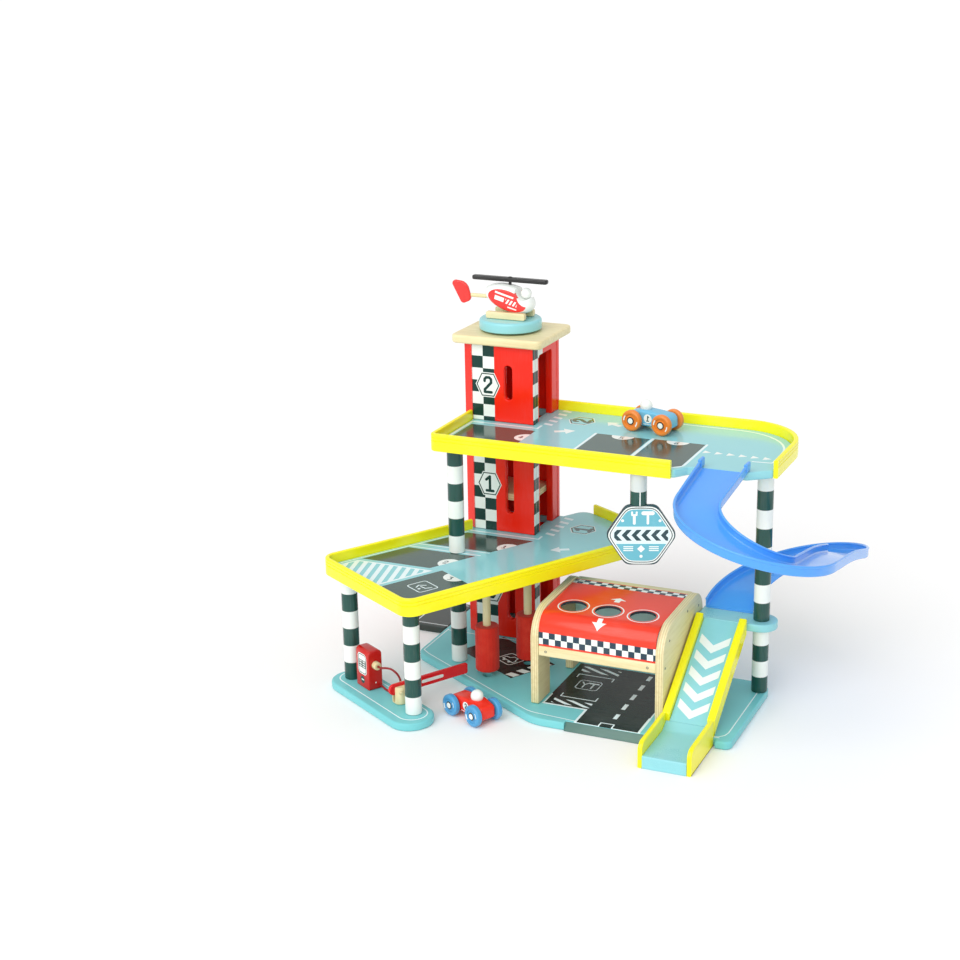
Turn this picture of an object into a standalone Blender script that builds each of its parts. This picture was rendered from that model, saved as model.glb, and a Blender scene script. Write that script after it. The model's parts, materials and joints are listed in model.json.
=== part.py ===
# Wooden toy garage: a lift tower, two parking decks, a workshop, a slide, a ramp,
# a fuel island with a barrier, a helicopter and two cars.
# Metres, +Z up. The origin lies on the underside of the base plate. +X runs along
# the tower's front and +Y away from the viewer.

import math

import bmesh
import bpy
from mathutils import Matrix, Vector

# Clearances
GAP = 0.0003               # between two pieces that touch
RUNNING = 0.0004           # round a pin, an axle or the lift floor

# Floors
BOARD = 0.009              # thickness of the base plate and of both decks
STOREY = 0.133             # from one floor's top to the next one's
BASE_TOP = BOARD
MID_TOP = BASE_TOP + STOREY
UPPER_TOP = MID_TOP + STOREY

# Lift tower
TOWER_RIGHT = -0.095
TOWER_FRONT = 0.050
TOWER_WIDTH = 0.088
TOWER_DEPTH = 0.078
TOWER_WALL = 0.008
TOWER_TOP_HEIGHT = 0.090   # of the top storey's panels
WING_ALONG = 0.012         # the slanted strip at the front left corner
WING_BACK = 0.007
TOWER_LEFT = TOWER_RIGHT - TOWER_WIDTH
TOWER_BACK = TOWER_FRONT + TOWER_DEPTH
SHAFT_LEFT = TOWER_LEFT + 0.017
DOOR_WIDTH = 0.038
DOOR_FROM_FRONT = 0.017
DOOR_ROUNDING = 0.004
DOOR_LINTEL = 0.012
WINDOW_WIDTH = 0.010
WINDOW_X = TOWER_RIGHT - 0.031
LOW_WINDOW = (0.023, 0.104)    # above the storey's floor, lower two storeys
TOP_WINDOW = (0.0265, 0.067)
LIFT_FLOOR = 0.008
LIFT_REST = 0.0365         # underside of the lift floor above the middle deck

# Tower roof, turning pad and its spindle
ROOF_BOARD = 0.010
ROOF_BOTTOM = UPPER_TOP + TOWER_TOP_HEIGHT
ROOF_TOP = ROOF_BOTTOM + ROOF_BOARD
ROOF_LEFT = -0.194
ROOF_RIGHT = -0.083
ROOF_FRONT = 0.042
ROOF_BACK = 0.140
ROOF_ROUNDING = 0.008
PAD_X = -0.139
PAD_Y = 0.089
PAD_RADIUS = 0.036
PAD_THICKNESS = 0.012
PAD_LIFT = 0.0024          # shadow gap between pad and roof
PAD_SHOULDER = 0.012
SPINDLE_RADIUS = 0.0045
DRUM_RADIUS = 0.010
DRUM_LENGTH = 0.012

# Helicopter
EGG_LENGTH = 0.062
EGG_HEIGHT = 0.031
EGG_WIDTH = 0.026
EGG_TILT = math.radians(15)
EGG_CLEAR = 0.0052         # from the pad's top to the egg's lowest point
COCKPIT_RADIUS = 0.010
COCKPIT_AHEAD = 0.020
PILOT_RADIUS = 0.0063
SKID_LENGTH = 0.048
SKID_HEIGHT = 0.008
SKID_WIDTH = 0.006
SKID_TRACK = 0.026
BOOM_RADIUS = 0.0023
BOOM_LENGTH = 0.026
BOOM_DEPTH = 0.003         # how far it sits in the egg
FIN_THICKNESS = 0.005
ROTOR_LENGTH = 0.093
ROTOR_WIDTH = 0.009
ROTOR_THICKNESS = 0.005
ROTOR_PIN = 0.0018
ROTOR_CLEAR = 0.0015

# Decks and rails
RAIL_THICKNESS = 0.005
RAIL_HEIGHT = 0.020
DECK_TURN = math.radians(59.2)     # the middle deck's length against +X
WING_BACK_EDGE = -0.0646   # middle deck, measured across it from the tower's corner
WING_FRONT_EDGE = 0.1016
WING_LEFT_END = -0.2387    # and along it
WING_RIGHT_END = 0.1027
WING_CORNER = 0.0107
WING_SWEEP = 0.0607        # the wide curve at its front right
WING_NOTCH = -0.036
WING_NOTCH_CORNER = 0.014
WING_RAIL_END = -0.0206
UPPER_LEFT_EDGE = -0.1707
UPPER_FRONT_EDGE = -0.0501
UPPER_BACK_EDGE = 0.1247
UPPER_RIGHT_EDGE = 0.2047
UPPER_CORNER = 0.003
UPPER_SWEEP = 0.0767
FRONT_RAIL_END = 0.1048
SLIDE_MOUTH_Y = -0.032
SLIDE_MOUTH_LEFT = 0.126
SLIDE_MOUTH_RIGHT = 0.182
RIGHT_RAIL_START = -0.013

# Base plate
BASE_LEFT = -0.212
BASE_BACK = 0.130
BASE_FRONT = -0.1425
BASE_RIGHT = 0.199
BASE_RIGHT_BACK = 0.036
BASE_STEP_RIGHT = 0.100    # ends of the slanted edge behind the workshop
BASE_STEP_LEFT = 0.040
BASE_SLANT = -0.126        # the slanted front edge, along the middle deck's length
BASE_ROUNDING = 0.020
RAMP_EDGE = -0.125
RAMP_BAY_EDGE = -0.1187
LIP_LEFT = 0.019
LIP_RIGHT = 0.112
LIP_BACK = -0.136
LIP_FRONT = -0.144
ROAD_PLATE_LEFT = -0.260
ROAD_PLATE_BACK = 0.128

# Fuel island, in the middle deck's own directions
ISLAND_BACK = -0.065
ISLAND_FRONT = 0.112
ISLAND_LEFT = -0.259
ISLAND_RIGHT = -0.199
PUMP_ACROSS = -0.0128
PUMP_ALONG = -0.22025
PUMP_WIDTH = 0.0266
PUMP_DEPTH = 0.0177
PUMP_HEIGHT = 0.046
PUMP_ROUNDING = 0.005
NOZZLE_RADIUS = 0.0045
NOZZLE_LENGTH = 0.012
NOZZLE_DEPTH = 0.006       # how far it sits in the pump
NOZZLE_HEIGHT = 0.0296     # above the island
HOSE_RADIUS = 0.0012
GATE_ACROSS = 0.0451
GATE_ALONG = -0.2124
GATE_BLOCK_LENGTH = 0.024
GATE_BLOCK_WIDTH = 0.018
GATE_BLOCK_HEIGHT = 0.020
GATE_PIVOT_BACK = 0.007    # pivot behind the block's middle
GATE_PIVOT_HEIGHT = 0.0147
GATE_ARM_LENGTH = 0.1025
GATE_ARM_HEIGHT = 0.0125
GATE_ARM_THICKNESS = 0.004
GATE_TAIL = 0.0115
GATE_PIN = 0.002

# Columns
COLUMN_RADIUS = 0.009
COLUMN_A = (-0.2475, -0.1191)
COLUMN_B = (-0.1417, -0.1773)
COLUMN_C = (-0.1565, -0.0300)
COLUMN_E = (0.1900, 0.0135)

# Hanging sign
SIGN_X = 0.0705
SIGN_POST_X = 0.0655
SIGN_POST_Y = -0.042
SIGN_WIDTH = 0.077
SIGN_HEIGHT = 0.0675
SIGN_FLAT = 0.036
SIGN_THICKNESS = 0.006
SIGN_ROUNDING = 0.010
SIGN_DROP = 0.036          # from the upper deck to the sign's top edge
SIGN_OVERLAP = 0.038       # how far the post runs down behind the sign

# Washing rollers
ROLLERS = ((-0.1082, -0.0578), (-0.0788, -0.0100))
BRUSH_RADIUS = 0.0135
BRUSH_LENGTH = 0.058
BRUSH_CLEAR = 0.003
ROLLER_DOWEL = 0.0045
ROLLER_SOCKET = 0.004

# Workshop
SHOP_LEFT = -0.033
SHOP_RIGHT = 0.119
SHOP_FRONT = -0.110
SHOP_BACK = 0.025
SHOP_WALL = 0.009
SHOP_FRONT_HEIGHT = 0.107  # top line above the base plate, at the front
SHOP_RISE = 0.02           # rise of the top line per length
SHOP_FRONT_ROUNDING = 0.032
SHOP_BACK_ROUNDING = 0.026
SHOP_LEG = 0.034
SHOP_ARCH_HEIGHT = 0.076
SHOP_ARCH_ROUNDING = 0.015
SHOP_BEAM_BOTTOM = 0.0575
SHOP_BEAM_HEIGHT = 0.0115
SHOP_BEAM_DEPTH = 0.009
SHOP_INSET = 0.002         # roof sheet below the walls' edge
SHOP_SHEET = 0.003
SHOP_SHEET_END = 0.002
SHOP_BACK_BEAM_DEPTH = 0.012
SHOP_BACK_BEAM_HEIGHT = 0.014
ROOF_HOLE_RADIUS = 0.0145
ROOF_HOLE_PITCH = 0.040
ROOF_HOLE_Y = -0.073

# Landing, ramp and its foot
LANDING_TOP = 0.094
LANDING_FRONT = -0.004
LANDING_WIDTH = 0.036
LANDING_LIP = 0.018        # board round the column
RAMP_LEFT = 0.121
RAMP_RIGHT = 0.179
RAMP_RAIL = 0.0085
RAMP_BOARD = 0.0125        # measured upright
RAMP_SLOPE = 0.642
RAMP_RAIL_RISE = 0.0071
FOOT_FRONT = -0.195
FOOT_FLOOR = 0.014
FOOT_CHEEK = 0.005
FOOT_TOP = 0.029

# Slide
SLIDE_X = 0.158
SLIDE_END_X = 0.150        # where it comes down on the landing
SLIDE_STRAIGHT = 0.081
SLIDE_FRONT_RADIUS = 0.0600
SLIDE_SIDE = 0.138
SLIDE_REAR_RADIUS = SLIDE_FRONT_RADIUS + (SLIDE_X - SLIDE_END_X) / 2
SLIDE_FALL = (0.0, 0.110, 0.320, 0.470, 0.700, 1.0)    # share of the drop at equal steps
SLIDE_HALF_WIDTHS = (0.0245, 0.0200, 0.0195, 0.0205, 0.0250)
SLIDE_FLOOR = 0.0025
SLIDE_WALL = 0.003
SLIDE_WALL_HEIGHT = 0.009
SLIDE_SPLIT = 0.625        # share of the run at which the lower half starts
SLIDE_STATIONS = 56
SLIDE_LUG = 0.009

# Cars
CAR_WHEEL_RADIUS = 0.012
CAR_WHEEL_THICKNESS = 0.007
CAR_WHEELBASE = 0.0384
CAR_TRACK = 0.0288
CAR_AXLE = 0.002
CAR_BODY_WIDTH = 0.020
CAR_CLEAR = 0.006
CAR_OVERHANG = 0.0085      # body beyond the axles
CAR_BONNET = 0.020         # height above the ground at the nose
CAR_CREST = 0.0245
CAR_WAIST = 0.0235
CAR_BOOT = 0.0215
CAR_HEAD = 0.007
CAR_HEAD_AHEAD = 0.0085
CAR_HEAD_HEIGHT = 0.0275
RED_CAR = (-0.086, -0.147)
BLUE_CAR = (0.0375, 0.0817)

ARC_STEP = math.radians(12)
ROUND_SIDES = 32

for leftover in list(bpy.data.objects):
    bpy.data.objects.remove(leftover, do_unlink=True)

parts = bpy.data.collections.new("toy_garage")
cutters = bpy.data.collections.new("cutters")
for collection in (parts, cutters):
    bpy.context.scene.collection.children.link(collection)


def paint(name, colour, roughness=0.45):
    material = bpy.data.materials.new(name)
    material.use_nodes = True
    shader = material.node_tree.nodes["Principled BSDF"]
    shader.inputs["Base Color"].default_value = (*colour, 1.0)
    shader.inputs["Roughness"].default_value = roughness
    shader.inputs["Metallic"].default_value = 0.0
    return material


YELLOW = (1.0, 0.93, 0.05)
AQUA = (0.35, 0.72, 0.77)
DARK = (0.03, 0.05, 0.05)
TEAL = (0.03, 0.09, 0.09)
RED = (0.85, 0.03, 0.02)
ORANGE_RED = (0.85, 0.09, 0.04)
PLY = (0.83, 0.74, 0.44)
SLIDE_BLUE = (0.13, 0.38, 0.95)
WHITE = (0.9, 0.9, 0.88)
SKY = (0.17, 0.50, 0.75)
ORANGE = (0.83, 0.24, 0.03)
BLACK = (0.02, 0.02, 0.02)


def link(name, mesh, colour, place, group=parts):
    piece = bpy.data.objects.new(name, mesh)
    group.objects.link(piece)
    piece.matrix_world = place
    if group is cutters:
        piece.hide_render = True
        piece.display_type = "WIRE"
    else:
        mesh.materials.append(paint(name + "_paint", colour))
        mesh.shade_smooth()
        mesh.set_sharp_from_angle(angle=math.radians(35))
    return piece


def rounded(corners, closed=True):
    """Points of an outline. A corner (x, y, radius) becomes an arc that fits between its neighbours."""
    points = []
    count = len(corners)
    for index, corner in enumerate(corners):
        here = Vector(corner[:2])
        radius = corner[2] if len(corner) > 2 else 0.0
        if radius <= 0 or (not closed and index in (0, count - 1)):
            points.append(here)
            continue
        back = Vector(corners[index - 1][:2]) - here
        ahead = Vector(corners[(index + 1) % count][:2]) - here
        half = back.angle(ahead) / 2
        reach = min(radius / math.tan(half), 0.49 * back.length, 0.49 * ahead.length)
        radius = reach * math.tan(half)
        back.normalize()
        ahead.normalize()
        centre = here + (back + ahead).normalized() * (radius / math.sin(half))
        start = here + back * reach - centre
        end = here + ahead * reach - centre
        first = math.atan2(start.y, start.x)
        sweep = math.remainder(math.atan2(end.y, end.x) - first, math.tau)
        steps = max(2, math.ceil(abs(sweep) / ARC_STEP))
        for step in range(steps + 1):
            angle = first + sweep * step / steps
            points.append(centre + Vector((math.cos(angle), math.sin(angle))) * radius)
    return points


def beside(corners, distance):
    """An open path moved to its right, its arcs kept concentric."""
    lines = [(Vector(b[:2]) - Vector(a[:2])).normalized() for a, b in zip(corners, corners[1:])]
    sides = [Vector((line.y, -line.x)) for line in lines]
    moved = []
    for index, corner in enumerate(corners):
        before = sides[max(index - 1, 0)]
        after = sides[min(index, len(sides) - 1)]
        across = (before + after).normalized()
        place = Vector(corner[:2]) + across * (distance / across.dot(after))
        radius = corner[2] if len(corner) > 2 else 0.0
        if radius > 0:
            turn = lines[max(index - 1, 0)].cross(lines[min(index, len(lines) - 1)])
            radius += distance if turn > 0 else -distance
        moved.append((place.x, place.y, max(radius, 0.0)))
    return moved


def box_outline(low_x, high_x, low_y, high_y, radius=0.0):
    return rounded([(low_x, low_y, radius), (high_x, low_y, radius),
                    (high_x, high_y, radius), (low_x, high_y, radius)])


def circle(x, y, radius, sides=ROUND_SIDES):
    angles = [math.tau * step / sides for step in range(sides)]
    return [Vector((x + radius * math.cos(angle), y + radius * math.sin(angle))) for angle in angles]


def level(z):
    """A board that lies flat with its underside at z."""
    return Matrix.Translation((0.0, 0.0, z))


def upright(origin, across, up=(0.0, 0.0, 1.0)):
    """A board whose outline runs across and up. Its thickness grows along across x up."""
    across = Vector(across).normalized()
    up = Vector(up).normalized()
    place = Matrix((across, up, across.cross(up))).transposed().to_4x4()
    place.translation = origin
    return place


def board(name, outlines, thickness, colour, place, group=parts):
    """A flat board from a filled 2D curve: its edge first, then the edges of its holes."""
    curve = bpy.data.curves.new(name, "CURVE")
    curve.dimensions = "2D"
    curve.fill_mode = "BOTH"
    curve.extrude = thickness / 2
    for outline in outlines:
        spline = curve.splines.new("POLY")
        spline.points.add(len(outline) - 1)
        spline.use_cyclic_u = True
        for point, corner in zip(spline.points, outline):
            point.co = (corner[0], corner[1], 0.0, 1.0)
    flat = bpy.data.objects.new(name, curve)
    parts.objects.link(flat)
    graph = bpy.context.evaluated_depsgraph_get()
    mesh = bpy.data.meshes.new_from_object(flat.evaluated_get(graph))
    bpy.data.objects.remove(flat)
    form = bmesh.new()
    form.from_mesh(mesh)
    bmesh.ops.remove_doubles(form, verts=form.verts, dist=0.00002)
    bmesh.ops.translate(form, verts=form.verts, vec=(0.0, 0.0, thickness / 2))
    bmesh.ops.recalc_face_normals(form, faces=form.faces)
    form.to_mesh(mesh)
    form.free()
    return link(name, mesh, colour, place, group)


def rod(name, radius, length, colour, place, group=parts, sides=ROUND_SIDES):
    """A cylinder from the place's origin along its +Z."""
    mesh = bpy.data.meshes.new(name)
    form = bmesh.new()
    bmesh.ops.create_cone(form, cap_ends=True, segments=sides, radius1=radius, radius2=radius,
                          depth=length, matrix=Matrix.Translation((0.0, 0.0, length / 2)))
    form.to_mesh(mesh)
    form.free()
    return link(name, mesh, colour, place, group)


def ball(name, radius, colour, place, group=parts, stretch=(1.0, 1.0, 1.0), rings=12, sides=20):
    mesh = bpy.data.meshes.new(name)
    form = bmesh.new()
    bmesh.ops.create_uvsphere(form, u_segments=sides, v_segments=rings, radius=radius,
                              matrix=Matrix.Diagonal((*stretch, 1.0)))
    form.to_mesh(mesh)
    form.free()
    return link(name, mesh, colour, place, group)


def turned(name, profile, colour, place, sides=ROUND_SIDES):
    """A turned piece: its profile runs down the outer side, from the axis and back to it."""
    mesh = bpy.data.meshes.new(name)
    points = [(radius, 0.0, height) for radius, height in profile]
    mesh.from_pydata(points, [(step, step + 1) for step in range(len(points) - 1)], [])
    piece = link(name, mesh, colour, place)
    screw = piece.modifiers.new("Screw", "SCREW")
    screw.steps = sides
    screw.render_steps = sides
    screw.use_merge_vertices = True
    screw.merge_threshold = 0.00002
    screw.use_smooth_shade = True
    return piece


def change(piece, other, operation):
    boolean = piece.modifiers.new(other.name, "BOOLEAN")
    boolean.object = other
    boolean.operation = operation
    boolean.solver = "EXACT"
    return piece


def cut(piece, other):
    return change(piece, other, "DIFFERENCE")


def join(piece, other):
    return change(piece, other, "UNION")


def from_stations(name, rings, colour):
    """A closed body lofted through rings of equal point counts, capped at both ends."""
    mesh = bpy.data.meshes.new(name)
    form = bmesh.new()
    rows = [[form.verts.new(point) for point in ring] for ring in rings]
    count = len(rows[0])
    for row, following in zip(rows, rows[1:]):
        for step in range(count):
            after = (step + 1) % count
            form.faces.new((row[step], row[after], following[after], following[step]))
    form.faces.new(rows[0][::-1])
    form.faces.new(rows[-1])
    bmesh.ops.recalc_face_normals(form, faces=form.faces)
    form.to_mesh(mesh)
    form.free()
    return link(name, mesh, colour, Matrix())


DECK_ALONG = Vector((math.cos(DECK_TURN), math.sin(DECK_TURN), 0.0))
DECK_ACROSS = Vector((math.sin(DECK_TURN), -math.cos(DECK_TURN), 0.0))


def on_wing(across, along, radius=0.0):
    """A plan point in the middle deck's directions, measured from the tower's front right corner."""
    place = DECK_ACROSS * across + DECK_ALONG * along
    return (TOWER_RIGHT + place.x, TOWER_FRONT + place.y, radius)


def wing_place(across, along, height):
    plan = on_wing(across, along)
    return Vector((plan[0], plan[1], height))


TOWER_PLAN_BACK = [(TOWER_LEFT, TOWER_BACK, 0.002),
                   (TOWER_LEFT, TOWER_FRONT + WING_BACK),
                   (TOWER_LEFT + WING_ALONG, TOWER_FRONT)]
SHAFT_HOLE = box_outline(SHAFT_LEFT, TOWER_RIGHT - TOWER_WALL,
                         TOWER_FRONT + TOWER_WALL, TOWER_BACK - TOWER_WALL)


def build_base():
    lower = BASE_LEFT - TOWER_RIGHT
    slant_left = (BASE_LEFT, TOWER_FRONT + (BASE_SLANT - lower * DECK_ALONG.x) / DECK_ALONG.y)
    drop = BASE_FRONT - TOWER_FRONT
    slant_right = (TOWER_RIGHT + (BASE_SLANT - drop * DECK_ALONG.y) / DECK_ALONG.x, BASE_FRONT)
    edge = rounded([
        (*slant_left, BASE_ROUNDING), (*slant_right, 0.050),
        (LIP_LEFT, BASE_FRONT), (LIP_LEFT, LIP_BACK),
        (LIP_RIGHT, LIP_BACK), (LIP_RIGHT, BASE_FRONT),
        (RAMP_LEFT - 0.004, BASE_FRONT, 0.002), (RAMP_LEFT - 0.004, RAMP_BAY_EDGE),
        (RAMP_RIGHT + 0.003, RAMP_BAY_EDGE), (RAMP_RIGHT + 0.003, RAMP_EDGE),
        (BASE_RIGHT, RAMP_EDGE, BASE_ROUNDING), (BASE_RIGHT, BASE_RIGHT_BACK, BASE_ROUNDING),
        (BASE_STEP_RIGHT, BASE_RIGHT_BACK, BASE_ROUNDING), (BASE_STEP_LEFT, BASE_BACK, BASE_ROUNDING),
        (BASE_LEFT, BASE_BACK, 0.008)])
    base = board("base_plate", [edge], BOARD, AQUA, level(0.0))
    lip = rounded([(LIP_BACK - GAP, 0.0), (LIP_BACK - GAP, BOARD), (LIP_FRONT, 0.001), (LIP_FRONT, 0.0)])
    board("front_entry_lip", [lip], LIP_RIGHT - LIP_LEFT - 2 * GAP, TEAL,
          upright((LIP_LEFT + GAP, 0.0, 0.0), (0.0, 1.0, 0.0)))
    plate = box_outline(ROAD_PLATE_LEFT, BASE_LEFT - GAP, TOWER_FRONT, ROAD_PLATE_BACK, 0.003)
    board("left_road_plate", [plate], BOARD, DARK, level(0.0))
    island = rounded([
        on_wing(ISLAND_BACK, ISLAND_LEFT, 0.029), on_wing(ISLAND_FRONT, ISLAND_LEFT, 0.029),
        on_wing(ISLAND_FRONT, ISLAND_RIGHT, 0.029), on_wing(ISLAND_BACK, ISLAND_RIGHT, 0.029)])
    board("island_base", [island], BOARD, AQUA, level(0.0))
    return base


def build_middle_deck():
    notch = on_wing(WING_NOTCH, 0.0)
    notch_along = (TOWER_BACK - notch[1]) / DECK_ALONG.y
    start_along = (WING_BACK_EDGE * -DECK_ACROSS.y) / DECK_ALONG.y
    path = [
        on_wing(WING_BACK_EDGE, start_along),
        on_wing(WING_BACK_EDGE, WING_LEFT_END, WING_CORNER),
        on_wing(WING_FRONT_EDGE, WING_LEFT_END, WING_CORNER),
        on_wing(WING_FRONT_EDGE, WING_RIGHT_END, WING_SWEEP),
        on_wing(WING_RAIL_END, WING_RIGHT_END)]
    edge = rounded(path[1:4] + [on_wing(WING_NOTCH, WING_RIGHT_END, WING_NOTCH_CORNER),
                                on_wing(WING_NOTCH, notch_along)] + TOWER_PLAN_BACK + path[:1])
    deck = board("mid_deck", [edge, SHAFT_HOLE], BOARD, AQUA, level(MID_TOP - BOARD))
    path[0] = on_wing(WING_BACK_EDGE, start_along - 0.004)
    rail = rounded(beside(path, RAIL_THICKNESS + GAP), closed=False)
    rail += reversed(rounded(beside(path, GAP), closed=False))
    board("mid_deck_rail", [rail], RAIL_HEIGHT, YELLOW, level(MID_TOP - BOARD))
    return deck


def build_upper_deck():
    mouth = [(FRONT_RAIL_END + 0.003, UPPER_FRONT_EDGE, 0.004),
             (SLIDE_MOUTH_LEFT - 0.008, UPPER_FRONT_EDGE + 0.014, 0.004),
             (SLIDE_MOUTH_LEFT, SLIDE_MOUTH_Y),
             (SLIDE_MOUTH_RIGHT, SLIDE_MOUTH_Y, 0.006),
             (UPPER_RIGHT_EDGE, RIGHT_RAIL_START - 0.001, 0.003)]
    edge = rounded([(UPPER_LEFT_EDGE, UPPER_FRONT_EDGE, UPPER_CORNER)] + mouth
                   + [(UPPER_RIGHT_EDGE, UPPER_BACK_EDGE, UPPER_SWEEP),
                      (TOWER_RIGHT, UPPER_BACK_EDGE), (TOWER_RIGHT, TOWER_BACK)]
                   + TOWER_PLAN_BACK[:2] + [(UPPER_LEFT_EDGE, TOWER_FRONT - 0.0002)])
    board("upper_deck", [edge, SHAFT_HOLE], BOARD, AQUA, level(UPPER_TOP - BOARD))
    front = [(UPPER_LEFT_EDGE, TOWER_FRONT - GAP),
             (UPPER_LEFT_EDGE, UPPER_FRONT_EDGE, UPPER_CORNER),
             (FRONT_RAIL_END, UPPER_FRONT_EDGE)]
    back = [(UPPER_RIGHT_EDGE, RIGHT_RAIL_START),
            (UPPER_RIGHT_EDGE, UPPER_BACK_EDGE, UPPER_SWEEP),
            (TOWER_RIGHT + GAP, UPPER_BACK_EDGE)]
    for name, path in (("upper_front_rail", front), ("upper_back_rail", back)):
        rail = rounded(beside(path, RAIL_THICKNESS + GAP), closed=False)
        rail += reversed(rounded(beside(path, GAP), closed=False))
        board(name, [rail], RAIL_HEIGHT, YELLOW, level(UPPER_TOP - BOARD))


def window_cutter(name, floor, window, low_y, high_y):
    half = WINDOW_WIDTH / 2
    shape = box_outline(WINDOW_X - half, WINDOW_X + half, floor + window[0], floor + window[1], half)
    return board(name, [shape], high_y - low_y, RED, upright((0.0, high_y, 0.0), (1.0, 0.0, 0.0)), cutters)


def build_tower():
    storeys = (("ground", BASE_TOP, STOREY - BOARD, LOW_WINDOW),
               ("middle", MID_TOP, STOREY - BOARD, LOW_WINDOW),
               ("top", UPPER_TOP, TOWER_TOP_HEIGHT, TOP_WINDOW))
    wing_left = TOWER_LEFT + WING_ALONG
    wing_slope = WING_BACK / WING_ALONG
    wing_wall = TOWER_WALL * math.hypot(1.0, wing_slope)   # its thickness along Y
    inner_turn = wing_left - (TOWER_WALL - wing_wall) / wing_slope
    wing_end = TOWER_FRONT + WING_BACK + wing_wall
    front_plan = [(wing_left, TOWER_FRONT), (TOWER_RIGHT, TOWER_FRONT),
                  (TOWER_RIGHT, TOWER_FRONT + TOWER_WALL), (inner_turn, TOWER_FRONT + TOWER_WALL),
                  (TOWER_LEFT, wing_end), (TOWER_LEFT, TOWER_FRONT + WING_BACK)]
    back_plan = [(TOWER_LEFT, wing_end + GAP), (TOWER_LEFT + TOWER_WALL, wing_end + GAP),
                 (TOWER_LEFT + TOWER_WALL, TOWER_BACK - TOWER_WALL),
                 (TOWER_RIGHT, TOWER_BACK - TOWER_WALL), (TOWER_RIGHT, TOWER_BACK),
                 (TOWER_LEFT, TOWER_BACK)]
    side_front = TOWER_FRONT + TOWER_WALL + GAP
    side_back = TOWER_BACK - TOWER_WALL - GAP
    door_front = TOWER_FRONT + DOOR_FROM_FRONT
    door_back = door_front + DOOR_WIDTH
    for label, floor, clear, window in storeys:
        height = clear - 2 * GAP
        front = board("tower_front_" + label, [front_plan], height, RED, level(floor + GAP))
        cut(front, window_cutter("front_window_" + label, floor, window,
                                 TOWER_FRONT - 0.004, TOWER_FRONT + TOWER_WALL + 0.004))
        back = board("tower_back_" + label, [back_plan], height, RED, level(floor + GAP))
        cut(back, window_cutter("back_window_" + label, floor, window,
                                TOWER_BACK - TOWER_WALL - 0.004, TOWER_BACK + 0.004))
        door_top = height - DOOR_LINTEL
        side = rounded([(side_front, 0.0), (door_front, 0.0),
                        (door_front, door_top, DOOR_ROUNDING), (door_back, door_top, DOOR_ROUNDING),
                        (door_back, 0.0), (side_back, 0.0), (side_back, height), (side_front, height)])
        board("tower_doorway_" + label, [side], TOWER_WALL, RED,
              upright((TOWER_RIGHT - TOWER_WALL, 0.0, floor + GAP), (0.0, 1.0, 0.0)))
    floor_plan = box_outline(SHAFT_LEFT + RUNNING, TOWER_RIGHT - TOWER_WALL - RUNNING,
                             TOWER_FRONT + TOWER_WALL + RUNNING, TOWER_BACK - TOWER_WALL - RUNNING, 0.002)
    board("lift_floor", [floor_plan], LIFT_FLOOR, PLY, level(MID_TOP + LIFT_REST))


def build_roof():
    roof_plan = box_outline(ROOF_LEFT, ROOF_RIGHT, ROOF_FRONT, ROOF_BACK, ROOF_ROUNDING)
    roof = board("roof_board", [roof_plan, circle(PAD_X, PAD_Y, SPINDLE_RADIUS + RUNNING)],
                 ROOF_BOARD, PLY, level(ROOF_BOTTOM))
    top = PAD_LIFT + PAD_THICKNESS
    drum_top = -ROOF_BOARD - GAP
    profile = [(0.0, top), (PAD_RADIUS - 0.003, top), (PAD_RADIUS - 0.0008, top - 0.001),
               (PAD_RADIUS, top - 0.003), (PAD_RADIUS, PAD_LIFT + 0.001), (PAD_RADIUS - 0.001, PAD_LIFT),
               (PAD_SHOULDER, PAD_LIFT), (PAD_SHOULDER, GAP), (SPINDLE_RADIUS, GAP),
               (SPINDLE_RADIUS, drum_top), (DRUM_RADIUS, drum_top),
               (DRUM_RADIUS, drum_top - DRUM_LENGTH), (0.0, drum_top - DRUM_LENGTH)]
    turned("helipad_disc", profile, AQUA, Matrix.Translation((PAD_X, PAD_Y, ROOF_TOP)))
    return roof


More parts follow.
